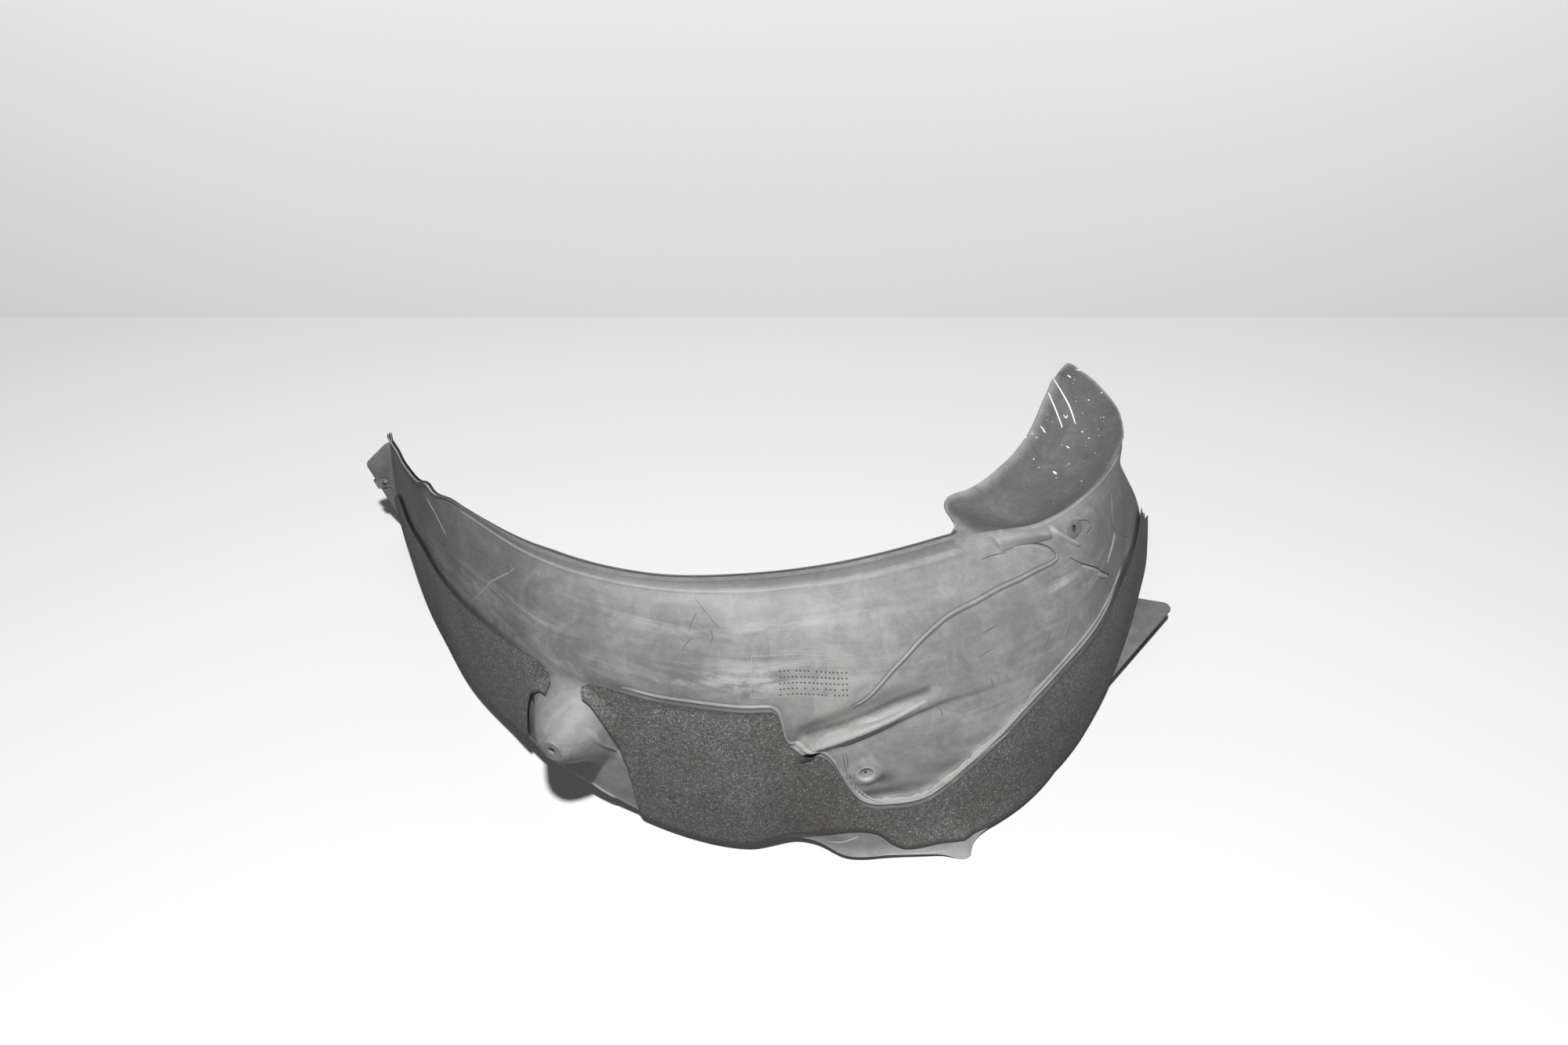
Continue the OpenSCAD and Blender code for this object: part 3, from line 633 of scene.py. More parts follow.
def put_uv(mesh, pairs):
    """The UV map `sheet`: metres along the arc and up the section, per corner."""
    layer = mesh.uv_layers.new(name="sheet")
    corner = np.empty(len(mesh.loops), int)
    mesh.loops.foreach_get("vertex_index", corner)
    layer.data.foreach_set("uv", np.asarray(pairs, np.float32)[corner].ravel())


def sheet_piece(name, columns, rows, place, thickness, material, worn, rubbed=None, soiled=None, slot=None,
                holes=()):
    """A grid skin with a wall: solidify copies every vertex, so the second half has the values of the first."""
    bm, a, v = mapped_grid(columns, rows, place)
    if holes:
        points = np.array([vert.co for vert in bm.verts])
        inside = np.any([np.linalg.norm(points - centre, axis=1) < radius for centre, radius in holes], axis=0)
        bmesh.ops.delete(bm, geom=[vert for vert, cut in zip(bm.verts[:], inside) if cut], context="VERTS")
        a, v = a[~inside], v[~inside]
        # A round trip through a mesh closes the gaps in the vertex order, which solidify would fill otherwise.
        packed = bpy.data.meshes.new("packed")
        bm.to_mesh(packed)
        bm.clear()
        bm.from_mesh(packed)
        bpy.data.meshes.remove(packed)
    half = len(bm.verts)
    bmesh.ops.solidify(bm, geom=bm.faces[:], thickness=thickness)
    for vert in bm.verts:
        vert.co.z = max(vert.co.z, 0)
    piece = finished_piece(name, bm, material, slot=slot)
    mesh = piece.data
    assert len(mesh.vertices) == 2 * half
    put_attribute(mesh, "worn", np.tile(worn(a, v), 2))
    put_attribute(mesh, "rubbed", np.tile(np.zeros(half) if rubbed is None else rubbed(a, v), 2))
    put_attribute(mesh, "soiled", np.tile(np.zeros(half) if soiled is None else soiled(a, v), 2))
    put_attribute(mesh, "tone", np.tile(sheet_tone(a, v), 2))
    put_uv(mesh, np.tile(np.stack([np.radians(a) * ARCH_R * MM, v * LINER_W * MM], -1), (2, 1)))
    return piece


def sheet_tone(a, v):
    """How pale the faded plastic is: dark at both ends and in the lobe, palest beside the boss. The dark short end is
    partly painted shade, and the lobe's darker plastic starts right at the fold, which also paints the shade in its
    dish.
    """
    tone = curve(TONE, a)
    side = blend((v - 1.01) / 0.03) * blend((a - LOBE_START - 1) / 3)
    return tone * (1 - side) + SIDE_TONE * side


def sheet_worn(a, v):
    edge = np.minimum((a - SHORT_END) / 1.2, (LONG_END - a) / 1.5)
    edge = np.minimum(edge, np.minimum(v / 0.03, (2 - v) / 0.1))
    return np.clip(1 - edge, 0, 1) * 0.8


def around(a, v, spots):
    """Sum of soft round fields: (angle, height, half width in degrees, half height in mm, strength)."""
    a = warp(a, v)
    z = tread_point(a, np.clip(v, 0, 1))[1]
    return sum(s * np.exp(-((a - at) / wide) ** 2 - ((z - up) / high) ** 2) for at, up, wide, high, s in spots)


def beside(a, v, line, reach):
    """1 on a line of (angle, height) points, 0 at `reach` millimetres from it."""
    a = warp(a, v)
    here = np.stack([a, tread_point(a, np.clip(v, 0, 1))[1]], -1) * UNROLL
    line = np.array(line, float) * UNROLL
    nearest = np.full(len(here), 1e9)
    for start, end in zip(line[:-1], line[1:]):
        way = end - start
        share = np.clip(((here - start) @ way) / (way @ way), 0, 1)
        nearest = np.minimum(nearest, np.linalg.norm(here - start - share[:, None] * way, axis=1))
    return np.clip(1 - nearest / reach, 0, 1) * (v <= 1)


RIB_SHADE = [(4.4, 143), (10.1, 160), (15.4, 174.5), (19.8, 180)]


def sheet_rubbed(a, v):
    smears = around(a, v, [(-19, 241, 7, 5, 0.6), (-10, 236, 8, 5, 0.45), (2, 244, 8, 4, 0.4), (-2, 206, 6, 12, 1.8),
                           (-14, 196, 9, 10, 0.8), (-30, 178, 7, 12, 0.7), (-46, 190, 9, 20, 0.5), (12, 205, 7, 9, 0.7),
                           (-36, 215, 7, 8, 0.7), (26, 150, 8, 14, 0.6), (14, 160, 5, 5, 1.1), (42, 226, 2.4, 7, 1.5),
                           (-24, 110, 6, 22, 0.7), (49, 206, 3, 8, 1.1), (-60, 170, 8, 25, 0.4),
                           (11.5, 105, 1.6, 11, 1.4), (4.6, 141, 1.3, 3.5, 1.6)])
    lip = beside(a, v, [(p, z + 9) for p, z in LONG_FELT_TOP if 9 < p < 70], 9)
    return np.clip(smears + 0.9 * lip, 0, 1.3)


def sheet_dirt_and_shade(a, v):
    # Dirt in spots, a painted shadow along the rib, painted shade at the crown's rolled rim and a darker band along the
    # felt's upper edge.
    spots = around(a, v, [(4.5, 140, 1.5, 4, 0.2), (13.6, 96, 1.6, 6, 0.7), (15, 80, 4, 6, 0.7), (11, 78, 2, 6, 0.6),
                          (22, 92, 4, 10, 0.4), (40, 120, 8, 20, 0.2), (-66, 215, 8, 20, 0.25)])
    # Painted shadow along the upper side of the rib's crest.
    spots = spots + 0.75 * beside(a, v, RIB_SHADE, 5)
    # Painted shade along the crown's rolled rim and on the narrow side wall over the crown.
    rim = beside(a, v, [(-50, 266), (-36, 266.5), (0, 267), (30, 267)], 7)
    rim = rim + (abs(v - 1.72) < 0.16) * (a < LOBE_START) * 1.6
    felt = beside(a, v, [(p, z + 4) for p, z in LONG_FELT_TOP if -25 < p < 70], 5)
    return np.clip(spots + 0.5 * rim + 0.35 * felt, 0, 1)


PAD_ANGLE, PAD_Z = 48.0, LINER_W - 12


def tip_place(x, y, z):
    """Frame of the boss tip: x round the wheel, y up and z outwards from the tip's face."""
    turn = math.radians(BOSS_ANGLE)
    at = np.array([float(BOSS_ANGLE)])
    r = tread_point(at, row_at(at, BOSS_Z))[0][0] + BOSS_H + 0.4 + z
    return np.array((r * math.sin(turn) + x * math.cos(turn), -r * math.cos(turn) + x * math.sin(turn), BOSS_Z + y))


def pad_place(x, y, z):
    """Frame of the flat pad below the fold: x round the wheel, y towards the fold and z outwards."""
    at = np.array([PAD_ANGLE])
    row = row_at(at, PAD_Z)
    n = skin_normal(at, row)[0]
    along = skin(at + 0.2, row)[0] - skin(at - 0.2, row)[0]
    along -= n * along.dot(n)
    along /= np.linalg.norm(along)
    return skin(at, row)[0] + along * x + np.cross(n, along) * y + n * (z + 0.7)


sheet = sheet_piece("liner_sheet", COLUMNS, ROWS, lambda a, v: in_frame(face(a, v)), WALL_T * MM, PLASTIC,
                    sheet_worn, sheet_rubbed, sheet_dirt_and_shade, slot="shell",
                    holes=[(in_frame(tip_place(0, 0, 0)), 8 * MM), (in_frame(pad_place(0, 0, 0)), 6 * MM)])
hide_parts("liner_shell")

# %% [markdown]
# ## Felt pads
# Each pad is a grid between an upper and a lower table, set off the sheet by the bond line and the felt's own
# thickness. It uses the sheet's own points, so it wraps over the same forms.

# %% Felt pads
FELT_T, FELT_GAP = 3.0, 0.4


def felt_place(top, low):
    def place(a, s):
        lower = row_at(a, curve(low, a))
        upper = row_at(a, np.maximum(curve(top, a), curve(low, a) + FELT_T))
        v = lower + (upper - lower) * s
        return in_frame(face(a, v) + (FELT_GAP + FELT_T) * face_normal(a, v))
    return place


def felt_worn(a, s):
    return np.clip(1 - np.minimum(s, 1 - s) / 0.05, 0, 1)


S_ROWS = steps(0.0, (1.0, 0.02))
for name, places, top, low, node in (
        ("felt_long", steps(-25, (12, 0.5), (98.4, 0.8)), LONG_FELT_TOP, LONG_FELT_LOW, "felt_pad_long"),
        ("felt_short", steps(-93, (-29.4, 0.6)), SHORT_FELT_TOP, SHORT_FELT_LOW, "felt_pad_short")):
    pad = sheet_piece(name, places, S_ROWS, felt_place(top, low), FELT_T * MM, FELT, felt_worn, slot="felt")
    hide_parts(node)

# %% [markdown]
# ## Beads, grooves and marks
# Moulded beads, scratches and paint runs are a few millimetres wide, finer than the sheet's grid. Each one is a
# narrow grid that follows a line on the sheet. Its section is a small rule, and its rims dip just under the surface,
# so that it grows out of the sheet without a seam. All strips of one finish share a mesh.

# %% Strips that lie on the sheet
def on_tread(a, z):
    return a, row_at(a, z)


def on_side(a, r):
    return a, 1 + (ARCH_R - curve(FOLD_INSET, a) - r) / side_width(a)


class Strips:
    """A mesh that narrow strips are added to. Their vertices carry the values that the finish reads."""

    def __init__(self):
        self.bm = bmesh.new()
        self.names = ("worn", "rubbed", "soiled", "tone", "sheet_u", "sheet_v")
        self.layers = [self.bm.verts.layers.float.new(name) for name in self.names]

    def grid(self, columns, rows, place, values):
        """A grid moved to place(column, row); values gives worn, rubbed and soiled, where soiled also holds painted
        shade.
        """
        made = bmesh.ops.create_grid(self.bm, x_segments=len(columns) - 1, y_segments=len(rows) - 1, size=0.5)["verts"]
        flat = np.array([vert.co for vert in made])
        t = np.interp(flat[:, 0] + 0.5, np.linspace(0, 1, len(columns)), columns)
        w = np.interp(flat[:, 1] + 0.5, np.linspace(0, 1, len(rows)), rows)
        points, a, v = place(t, w)
        marks = [np.broadcast_to(value, t.shape) for value in (*values(t, w), sheet_tone(a, v))]
        marks += [np.radians(a) * ARCH_R * MM, v * LINER_W * MM]
        for i, vert in enumerate(made):
            vert.co = points[i]
            for layer, mark in zip(self.layers, marks):
                vert[layer] = float(mark[i])

    def strip(self, points, half_width, height, values, on=on_tread, step=2.0,
              rows=(-1, -0.55, -0.25, 0, 0.25, 0.55, 1)):
        """A strip along a line of (angle, height) points; half_width and height are rules of the share of the way."""
        line = np.array(points, float) * UNROLL
        way = np.concatenate([[0], np.cumsum(np.linalg.norm(np.diff(line, axis=0), axis=1))])
        places = np.linspace(0, way[-1], max(3, round(way[-1] / step) + 1))
        line = np.stack([curve(np.stack([way, line[:, k]], -1), places) for k in (0, 1)], -1)
        ahead = np.gradient(line, axis=0)
        ahead /= np.linalg.norm(ahead, axis=1, keepdims=True)
        share = places / way[-1]

        def place(t, w):
            middle = np.stack([np.interp(t, share, line[:, k]) for k in (0, 1)], -1)
            across = np.stack([-np.interp(t, share, ahead[:, 1]), np.interp(t, share, ahead[:, 0])], -1)
            flat = (middle + across * (w * half_width(t))[:, None]) / UNROLL
            a, v = on(flat[:, 0], flat[:, 1])
            lift = height(t, w)[:, None]
            return in_frame(skin(a, v) + lift * skin_normal(a, v)), a, v

        self.grid(share, np.array(rows), place, values)

    def dot(self, a, z, radius, height, worn=0.0, soiled=0.0, on=on_tread):
        """A low eight-sided dome."""
        a, v = on(np.array([float(a)]), np.array([float(z)]))
        turn = Vector(skin_normal(a, v)[0]).to_track_quat("Z", "X").to_matrix().to_4x4()
        made = bmesh.ops.create_cone(
            self.bm, cap_ends=True, segments=8, radius1=radius * MM, radius2=radius * 0.45 * MM, depth=2 * height * MM,
            matrix=Matrix.Translation(in_frame(skin(a, v)[0])) @ turn)["verts"]
        marks = (worn, 0.0, soiled, sheet_tone(a, v)[0], np.radians(a[0]) * ARCH_R * MM, v[0] * LINER_W * MM)
        for vert in made:
            for layer, mark in zip(self.layers, marks):
                vert[layer] = float(mark)

    def finish(self, name, material, slot="shell"):
        piece = finished_piece(name, self.bm, material, sharp=60, slot=slot)
        mesh = piece.data
        read = {}
        for key in ("sheet_u", "sheet_v"):
            read[key] = np.empty(len(mesh.vertices), np.float32)
            mesh.attributes[key].data.foreach_get("value", read[key])
            mesh.attributes.remove(mesh.attributes[key])
        put_uv(mesh, np.stack([read["sheet_u"], read["sheet_v"]], -1))
        return piece


def even(width):
    return lambda t: width + 0 * t


def thinning(width, loss):
    """Half width that shrinks evenly along the strip."""
    return lambda t: width - loss * t


def tapered(width, ends=0.12, least=0.15):
    """Half width that narrows towards both ends of a strip."""
    return lambda t: width * (least + (1 - least) * np.sqrt(np.clip(np.minimum(t, 1 - t) / ends, 0, 1)))


def bead(height, sink=0.35, ends=0.06):
    """Half-round section whose rims dip into the sheet and whose ends run out."""
    def rule(t, w):
        fade = blend(np.minimum(t, 1 - t) / ends)
        return (height + sink) * fade * np.cos(np.pi / 2 * w) ** 1.2 - sink
    return rule


def flush(lift=0.12):
    """Section of a mark that lies on the sheet: nearly flat, with its rims just under the surface."""
    return lambda t, w: lift - 0.3 * np.abs(w) ** 4


def marks(worn=0.0, rubbed=0.0, soiled=0.0):
    return lambda t, w: (worn, rubbed, soiled)


def crested(worn):
    """Pale along the crest, fading to both rims."""
    return lambda t, w: (worn * np.cos(np.pi / 2 * w), 0 * w, 0 * w)


def edged(worn, soiled):
    """Pale on the crest and darker along both rims: wear and dirt, with painted highlight and painted shade."""
    return lambda t, w: (worn * np.clip(1 - 2 * np.abs(w), 0, 1), 0 * w, soiled * blend((np.abs(w) - 0.25) / 0.3)
                         * blend((1.05 - np.abs(w)) / 0.3))


# %% [markdown]
# ## Moulded beads
# The long lines on the tread are low beads. Their crests are pale and their rims dark, partly as wear and dirt and
# partly as painted highlight and painted shade, so the section and these marks come from the same place across the
# strip. The sheet's lip along the felt, the bead under the crown, the rib's crest and the ring's line are made here
# too; the crown bead and the rib's crest get a painted highlight.

# %% Moulded beads
beads = Strips()
FINE = (-1, -0.75, -0.5, -0.35, -0.2, 0, 0.2, 0.35, 0.5, 0.75, 1)
UPPER_BEAD = [(10, 175.7), (11.7, 182.3), (13.7, 194), (15.4, 203.5), (17.4, 212), (19.7, 221), (22.4, 228),
              (24.3, 232), (26.2, 234.5), (29.4, 236.4), (32.9, 239), (36, 240), (39, 242), (42.9, 243.8), (43.2, 248)]
LOWER_BEAD = [(8.9, 128.3), (9.1, 116.6), (9.4, 100.5), (10, 91.2), (10.8, 83.5), (11.6, 76.9), (12.5, 72),
              (13.5, 68.4), (14.7, 66), (16.1, 64.7), (17.6, 66), (19.1, 69.6), (20.5, 74.4), (21.9, 79.9),
              (23.2, 85.8), (25.3, 92.9), (27, 99.4), (30.8, 110.9)]


def ridge(height, reach=0.5):
    """A narrow bead in the middle of a wider, nearly flush strip."""
    def rule(t, w):
        fade = blend(np.minimum(t, 1 - t) / 0.04)
        crest = np.cos(np.pi / 2 * np.clip(np.abs(w) / reach, 0, 1)) ** 2
        return 0.1 + height * fade * crest - 0.4 * np.abs(w) ** 6
    return rule


# Painted highlight on the crests and painted shade along the rims, besides wear and dirt.
beads.strip(UPPER_BEAD, thinning(3.4, 0.8), ridge(0.9), edged(0.35, 0.6), rows=FINE)
beads.strip(LOWER_BEAD, thinning(2.4, 0.6), ridge(0.7), edged(0.4, 0.7), rows=FINE)
felt_lip = [(a, z + 3.2) for a, z in LONG_FELT_TOP if -22 < a < 61]
beads.strip(felt_lip, even(2.3), bead(1.1),
            lambda t, w: (0.4 * np.cos(np.pi / 2 * w), 0 * w, 0.5 * (w < -0.8)), step=1.5)
# The bead under the crown, pale along its crest: a painted highlight where the rim bends.
beads.strip([(-52, 260), (-46, 262.5), (-40, 263), (-20, 263), (0, 263), (20, 263), (31, 263)], even(1.7),
            bead(0.8, ends=0.02), crested(0.3), step=5)
# The rib's crest, painted pale: a painted highlight along the face that turns up to the light.
RIB_CREST = [(3.2, 133.5), (5.5, 139), (8.9, 149.5), (12.7, 158), (17.8, 169), (21.6, 177)]
beads.strip(RIB_CREST, thinning(5.5, 3), bead(1.6, sink=0.5, ends=0.4),
            lambda t, w: (0.6 * np.cos(np.pi / 2 * np.clip(w * 1.4, -1, 1)), 0 * w, 0 * w), rows=FINE)
RING_AT, RING_LINE_R = (11.5, 105), 7.5
turns = [math.radians(360 * k / 16) for k in range(17)]
beads.strip([(RING_AT[0] + RING_LINE_R * math.cos(s) / UNROLL[0], RING_AT[1] + RING_LINE_R * math.sin(s))
             for s in turns],
            even(2.6), lambda t, w: 1.1 * np.cos(np.pi / 2 * w) ** 1.2 - 0.35, crested(1.4), step=1.5)

# %% [markdown]
# ## Bracket
# Round the screw pad at the long end the mould has a bracket, short folds and creases. They are small and irregular,
# and a strip along a drawn line follows each of them with a handful of points.

# %% Forms round the bracket at the long end
def groove(t, w):
    """Section of a line cut into the sheet: dark, with its rims just under the surface."""
    return 0.1 - 0.35 * np.abs(w) ** 4


beads.strip([(35.6, 262.5), (38.5, 263.2), (41.5, 262), (44, 260)], thinning(5.5, 2), bead(4.2, ends=0.05),
            lambda t, w: (0.35 * blend((w + 0.4) / 0.5), 0 * w, 0.6 * (w < -0.8)), rows=FINE)
beads.strip([(44.4, 264), (45.3, 257), (46.4, 249.5), (47.9, 240)], thinning(5.0, 2.5), bead(2.6, ends=0.2),
            crested(0.45), rows=FINE)
beads.strip([(36.8, 262), (39.5, 260), (41.6, 257), (42.7, 252), (43, 247)], even(0.9), flush(), marks(soiled=0.9))
beads.strip([(36.8, 260), (39.4, 258), (41.3, 255), (42.3, 250)], even(1.4), bead(0.4), marks(worn=0.3))
beads.strip([(57.9, 216), (56, 208), (54.2, 203), (52.8, 198)], thinning(3.0, 1), bead(1.4, ends=0.2),
            crested(0.5))
# Pale crest and dark rims here too: partly painted highlight and painted shade, besides wear and dirt.
beads.strip([(59.3, 250), (58.4, 242), (57.8, 234), (57.6, 228), (58.1, 216), (59.2, 206), (61, 194), (64, 177)],
            even(1.2), ridge(0.4), edged(0.6, 0.5), rows=FINE)
beads.strip([(48, 258.6), (49.6, 257), (51.2, 252), (51.4, 246.5), (49.8, 245.5)], even(0.8), flush(),
            marks(soiled=0.7), step=1.2)
FELT_SIDE = [(59.8, 170), (57.7, 166), (52.7, 162.5), (46, 160), (41.5, 156), (37.3, 148), (32.8, 134)]
beads.strip(FELT_SIDE, even(2.2), bead(1.2, ends=0.1), crested(0.8))
beads.strip([(38, 266.2), (44, 265.8), (52, 265.8), (60, 264.6), (67, 262.8)], even(1.5),
            bead(0.7, ends=0.1), crested(0.35), step=3)

# %% [markdown]
# ## The crack
# The sheet is split below the bracket and its lips stand up a little. The damage stays: a dark strip is the split,
# and two ragged strips beside it are the lips. A random width with a fixed seed makes them uneven.

# %% The crack below the bracket, with its torn lips
CRACK = [(45, 239), (45.8, 234), (46.8, 228), (48.1, 221), (49.2, 215), (50.3, 208), (51.2, 201), (52.3, 193.5),
         (53.4, 186)]
ragged = random.Random(8)
jags = np.array([ragged.uniform(0.5, 1.5) for _ in range(25)])


def torn(t):
    return np.interp(t, np.linspace(0, 1, len(jags)), jags)


beads.strip(CRACK, lambda t: 0.35 + 0.8 * torn(t) * np.sqrt(t), groove, marks(soiled=1.8), step=1.0)
beads.strip([(a - 0.3, z - 1.5) for a, z in CRACK[2:]], lambda t: 0.9 + 0.8 * torn(t), bead(0.5), marks(worn=0.9),
            step=1.0)
beads.strip([(49.4, 207), (50.6, 199), (51.8, 191.5), (52.8, 186)], lambda t: 3.4 * torn(t), bead(1.2, ends=0.3),
            lambda t, w: (0.8 * blend((w + 0.6) / 0.5), 0 * w, 0.5 * (w < -0.7)), step=1.2)

# %% [markdown]
# ## Small marks
# Scratches are dark and flush, creases are pale and raised. All of them use the same strip with other rules.

# %% Boss, foot, scratches and old creases
beads.strip([(-23.8, 146), (-22.9, 140), (-22, 129), (-21.4, 114), (-20.5, 98), (-19.5, 76)], thinning(2.6, 1.2),
            bead(1.4, ends=0.4), crested(0.5))
beads.strip([(-26.9, 38), (-25.2, 33), (-23.6, 27), (-21, 21)], even(3.0), bead(1.0, ends=0.2), marks(worn=0.9))
SCRATCHES = [[(-10.9, 260), (-9.5, 254), (-8, 247), (-6.7, 241)], [(-10.2, 252), (-10.8, 245), (-11.1, 237)],
             [(-8.2, 241), (-7.8, 236), (-8, 232)], [(-10.5, 234), (-11.3, 228), (-11.8, 222)],
             [(28.5, 213), (29.8, 214.4), (31.1, 215)], [(28.2, 175), (28.6, 169), (28.5, 164)],
             [(32.3, 257), (34.4, 257.4), (36.8, 257)], [(27, 195), (28.4, 197.5), (29.6, 198.6)],
             [(37, 180), (38, 186), (38.4, 190)], [(41, 176), (41.6, 182), (42.4, 186)],
             [(21, 160), (21.5, 154), (21.4, 148)]]
for line in SCRATCHES:
    beads.strip(line, tapered(0.55, 0.4), flush(), marks(soiled=1.3), step=1.2, rows=(-1, 0, 1))
CREASES = [[(-63.9, 236), (-60, 229), (-56.5, 221), (-53.3, 213)],
           [(-36.3, 262), (-39, 240), (-42.5, 217), (-46, 186), (-49.4, 158)],
           [(11.6, 11), (14.2, 8.5), (16.9, 7), (22.4, 6)], [(6.1, 15), (8.6, 22), (11.3, 33)]]
for line in CREASES:
    beads.strip(line, tapered(1.6, 0.3), bead(0.5, ends=0.3), marks(worn=0.8), step=2.5)

# %% [markdown]
# ## The ragged band
# Where the felt was pressed on, the sheet has a pale band of uneven width along the felt's upper edge.

# %% The pale ragged band between the groove and the felt
band = [(a, z + 6) for a, z in LONG_FELT_TOP if 8 < a < 60]
uneven = np.array([ragged.uniform(0.3, 1.6) for _ in range(90)])
beads.strip(band, lambda t: 2.4 * np.interp(t, np.linspace(0, 1, len(uneven)), uneven), flush(0.15), marks(worn=0.85),
            step=1.5)

# %% [markdown]
# ## The dot panel
# The real sheet has a block of moulded characters here. Only its texture is kept: rows of plain dots, pale above
# and dark below, with some missing, inside a thin frame.

# %% A panel of plain dots
spread = random.Random(5)
DOT_ROWS, DOT_COLUMNS, PALE_ROWS, MISSING = 8, 17, 3, 0.12
for row in range(DOT_ROWS):
    for column in range(DOT_COLUMNS):
        share, drop = column / (DOT_COLUMNS - 1), row / (DOT_ROWS - 1)
        if spread.random() < MISSING:
            continue
        upper = row < PALE_ROWS
        beads.dot(1.1 + 8.4 * share + spread.uniform(-0.05, 0.05), 225 - 3.6 * share - drop * (35.5 - share * 2.0),
                  1.0 if upper else 1.25, 0.45, worn=1.5 if upper else 0.1, soiled=0.0 if upper else 0.9)
for line in ([(-2.6, 224), (-2.6, 190)], [(-2.6, 224), (10.6, 219.5)], [(-2.6, 190), (10.4, 184)]):
    middle = [tuple(np.array(line[0]) + (np.array(line[1]) - np.array(line[0])) * s) for s in (0, 0.5, 1)]
    beads.strip(middle, even(0.7), flush(0.08), marks(worn=0.8), step=4, rows=(-1, 0, 1))

# %% [markdown]
# ## The middle of the ring
# The pressed ring has a small dark dimple. This is the last strip, so the mesh is finished here.

# %% The ring in the panel: a dark dimple in its middle
beads.dot(*RING_AT, 2.3, 0.25, soiled=1.1)
print("strips", len(beads.bm.faces))
beads.finish("moulded_beads", PLASTIC)

# %% [markdown]
# ## Paint marks
# White paint ran and spattered over the side wall. The runs are tapered strips, the spatter is low domes.

# %% White paint marks on the lobe
paint = Strips()
RUNS = [[(86.4, 293), (85, 297), (83.6, 301), (80.6, 309.5), (76.4, 318)],
        [(82, 287), (80.6, 290.3), (79.2, 294), (74.7, 305.5)]]


def paint_section(t, w):
    """A low rounded run of paint, its rims just under the surface."""
    return 0.5 - 0.7 * np.abs(w) ** 3


for line in RUNS:
    paint.strip(line, tapered(1.15, 0.5, 0.4), paint_section, marks(), on=on_side, step=1.5)
for line, width in (([(77.9, 304.5), (77.4, 307.5), (78.2, 308.6)], 0.8), ([(71.9, 285), (71.6, 288), (71, 291)], 1.3),
                    ([(70.3, 314.5), (70.1, 316), (70, 318)], 1.3), ([(62.2, 314), (62, 316), (61.7, 318.5)], 2.0),
                    ([(88.8, 308.5), (88.6, 310), (88.3, 312)], 1.2), ([(90.8, 319), (90.9, 321), (90.7, 324)], 0.8)):
    paint.strip(line, tapered(width, 0.5, 0.5), paint_section, marks(), on=on_side, step=0.8)
sprinkle = random.Random(3)
LARGE_FLECKS = 9
flecks = [(74.7, 326), (72.9, 334), (59.5, 348), (82.7, 329), (84.2, 342), (68.5, 280), (68.3, 285),
          (66.3, 276.5), (62.5, 292)]
flecks += [(sprinkle.uniform(52, 88), sprinkle.uniform(285, 350)) for _ in range(26)]
for number, (a, r) in enumerate(flecks):
    paint.dot(a, r, 1.3 if number < LARGE_FLECKS else sprinkle.uniform(0.4, 0.8), 0.35, on=on_side)
paint.finish("paint_marks", PAINT, slot=None)

# %% [markdown]
# ## End flange, side tab and boss tip
# The short end turns out into a flange with a fixing hole, and a tongue stands out of the tread wall near the floor.
# Both are flat, so each starts as an outline that is filled, given the sheet's thickness and bevelled.

# %% Flat parts of the moulding
def plate_piece(name, outline, holes, thickness, place, bevel, tone=0.82):
    """A filled outline with round holes, made solid, bevelled and then moved from its own plane into the frame."""
    bm = bmesh.new()
    rings = [outline] + holes
    edges = []
    for ring in rings:
        verts = [bm.verts.new((x, y, 0)) for x, y in ring]
        edges += [bm.edges.new((verts[i - 1], verts[i])) for i in range(len(verts))]
    bmesh.ops.triangle_fill(bm, edges=edges, use_beauty=True, normal=(0, 0, 1))
    bmesh.ops.recalc_face_normals(bm, faces=bm.faces[:])
    if sum(f.normal.z for f in bm.faces) < 0:
        bmesh.ops.reverse_faces(bm, faces=bm.faces[:])
    bmesh.ops.solidify(bm, geom=bm.faces[:], thickness=thickness)
    bm.normal_update()
    rim = [e for e in bm.edges if len(e.link_faces) == 2 and e.calc_face_angle() > 1.2]
    bmesh.ops.bevel(bm, geom=rim, offset=bevel, affect="EDGES", segments=2, profile=0.5, material=-1)
    for vert in bm.verts:
        vert.co = in_frame(place(*vert.co))
    bmesh.ops.recalc_face_normals(bm, faces=bm.faces[:])
    piece = finished_piece(name, bm, PLASTIC, slot="shell")
    put_attribute(piece.data, "tone", np.full(len(piece.data.vertices), tone))
    return piece


def arc(centre, r, start, end, count):
    turns = np.radians(np.linspace(start, end, count + 1))
    return [(centre[0] + r * math.cos(t), centre[1] + r * math.sin(t)) for t in turns]


# %% [markdown]
# ## End flange
# The flange lies in the plane across the short end, so its outline is drawn there as x along the radius and y up.

# %% End flange
FLANGE_W, FLANGE_CORNER_Z, FLANGE_ROUND, FLANGE_SETBACK = 34.0, 98.0, 9.0, 0.3
root_r = ARCH_R + 10.0 - WALL_T / 2
foot = np.array((root_r + 5, 16.0))
corner = np.array((root_r + FLANGE_W, FLANGE_CORNER_Z))
edge_way = (corner - foot) / np.linalg.norm(corner - foot)
inward = np.array((-edge_way[1], edge_way[0]))
flange_hole = foot + 62 * edge_way + 9 * inward
lean = math.degrees(math.atan2(edge_way[1], edge_way[0])) - 90
end_turn = math.radians(SHORT_END)


def on_flange(x, y, z):
    out = np.array((math.sin(end_turn), -math.cos(end_turn), 0.0))
    across = np.array((-math.cos(end_turn), -math.sin(end_turn), 0.0))
    return out * x + across * (z - FLANGE_SETBACK) + np.array((0, 0, y))


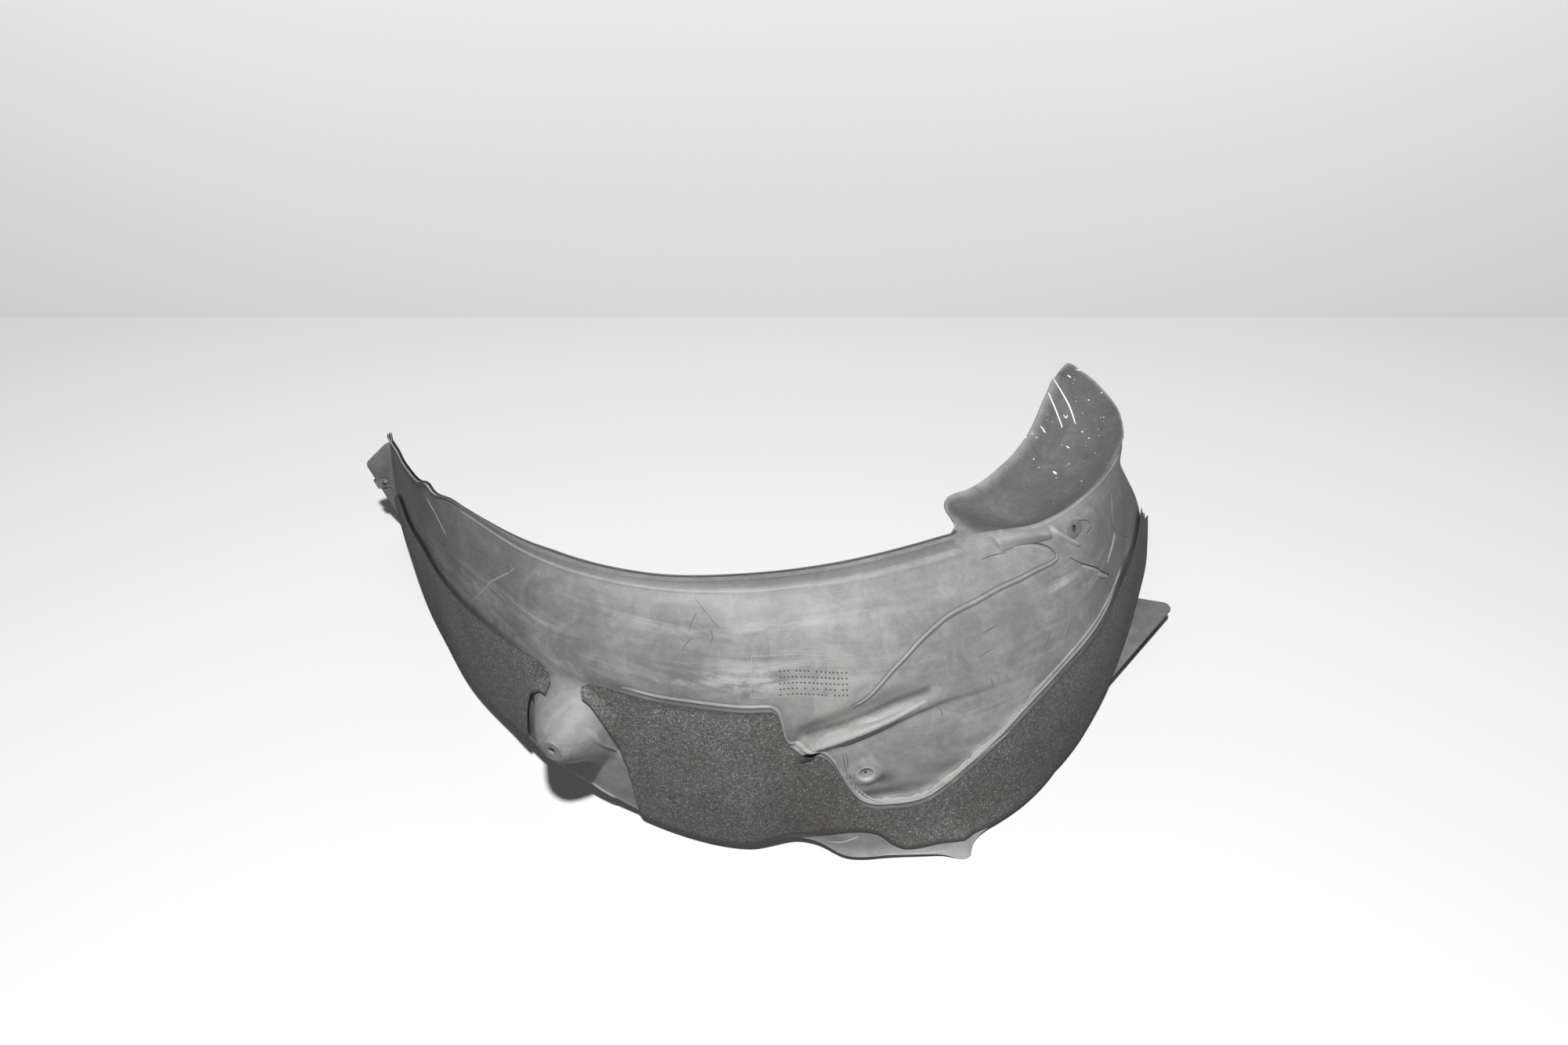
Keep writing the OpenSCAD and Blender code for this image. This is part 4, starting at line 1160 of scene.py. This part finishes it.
flange_outline = ([(root_r, 8), tuple(foot)] + arc(corner + FLANGE_ROUND * inward, FLANGE_ROUND, lean, 50, 8)
                  + [(root_r + 10, FLANGE_CORNER_Z + 33), (root_r, FLANGE_CORNER_Z + 40)])
plate_piece("end_flange", flange_outline, [arc(flange_hole, 4.5, 0, 337.5, 15)], WALL_T, on_flange, 0.6)

# %% [markdown]
# ## Side tab
# The tab is level and follows the tread wall at its root, so its outline uses the wall's own radius.

# %% Side tab
TAB_Z, TAB_REACH, TAB_FROM, TAB_TO, TAB_ROUND = 24.0, 40.0, 55.0, 76.0, 9.0


def tab_root(a):
    at = skin(np.array([float(a)]), row_at(np.array([float(a)]), TAB_Z))[0]
    return math.hypot(at[0], at[1]) - WALL_T / 2


def polar(r, a):
    return np.array((r * math.sin(math.radians(a)), -r * math.cos(math.radians(a))))


tab_tip, tab_step = tab_root(TAB_TO) + TAB_REACH - TAB_ROUND, (TAB_TO - TAB_FROM) / 6
tip_turn = TAB_TO - math.degrees(math.asin(TAB_ROUND / tab_tip))
tab_outline = ([tuple(polar(tab_root(TAB_FROM + tab_step * k), TAB_FROM + tab_step * k)) for k in range(7)]
               + arc(polar(tab_tip, tip_turn), TAB_ROUND, TAB_TO, -45, 10))
plate_piece("side_tab", tab_outline, [], WALL_T, lambda x, y, z: np.array((x, y, z + TAB_Z)), 0.6)

# %% [markdown]
# ## Screw holes
# The sheet is cut open at the boss tip and at the pad. A flat disc with a round hole closes each: a hole straight
# through the grid would have a stepped rim.

# %% Boss tip and the pad round the side wall hole
SCREW_R, PAD_R = 3.3, 9
screw_hole = arc((0, 0), SCREW_R, 0, 337.5, 15)
plate_piece("boss_tip_disc", arc((0, 0), 11, 0, 348.75, 31), [screw_hole], 3.6, tip_place, 0.7, 1.25)
oval = [(x * 1.15 + y * 0.2, y * 0.85) for x, y in arc((0, 0), PAD_R, 0, 348.75, 31)]
plate_piece("hole_pad", oval, [screw_hole], 4.0, pad_place, 0.7, 0.8)

# %% [markdown]
# ## Speed nut
# The CAD speed nut already has its bent shape and its bore, so its mesh stays as it is and only gets the finish.

# %% Speed nut
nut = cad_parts["speed_nut"]
nut.data.materials.clear()
nut.data.materials.append(RUST)
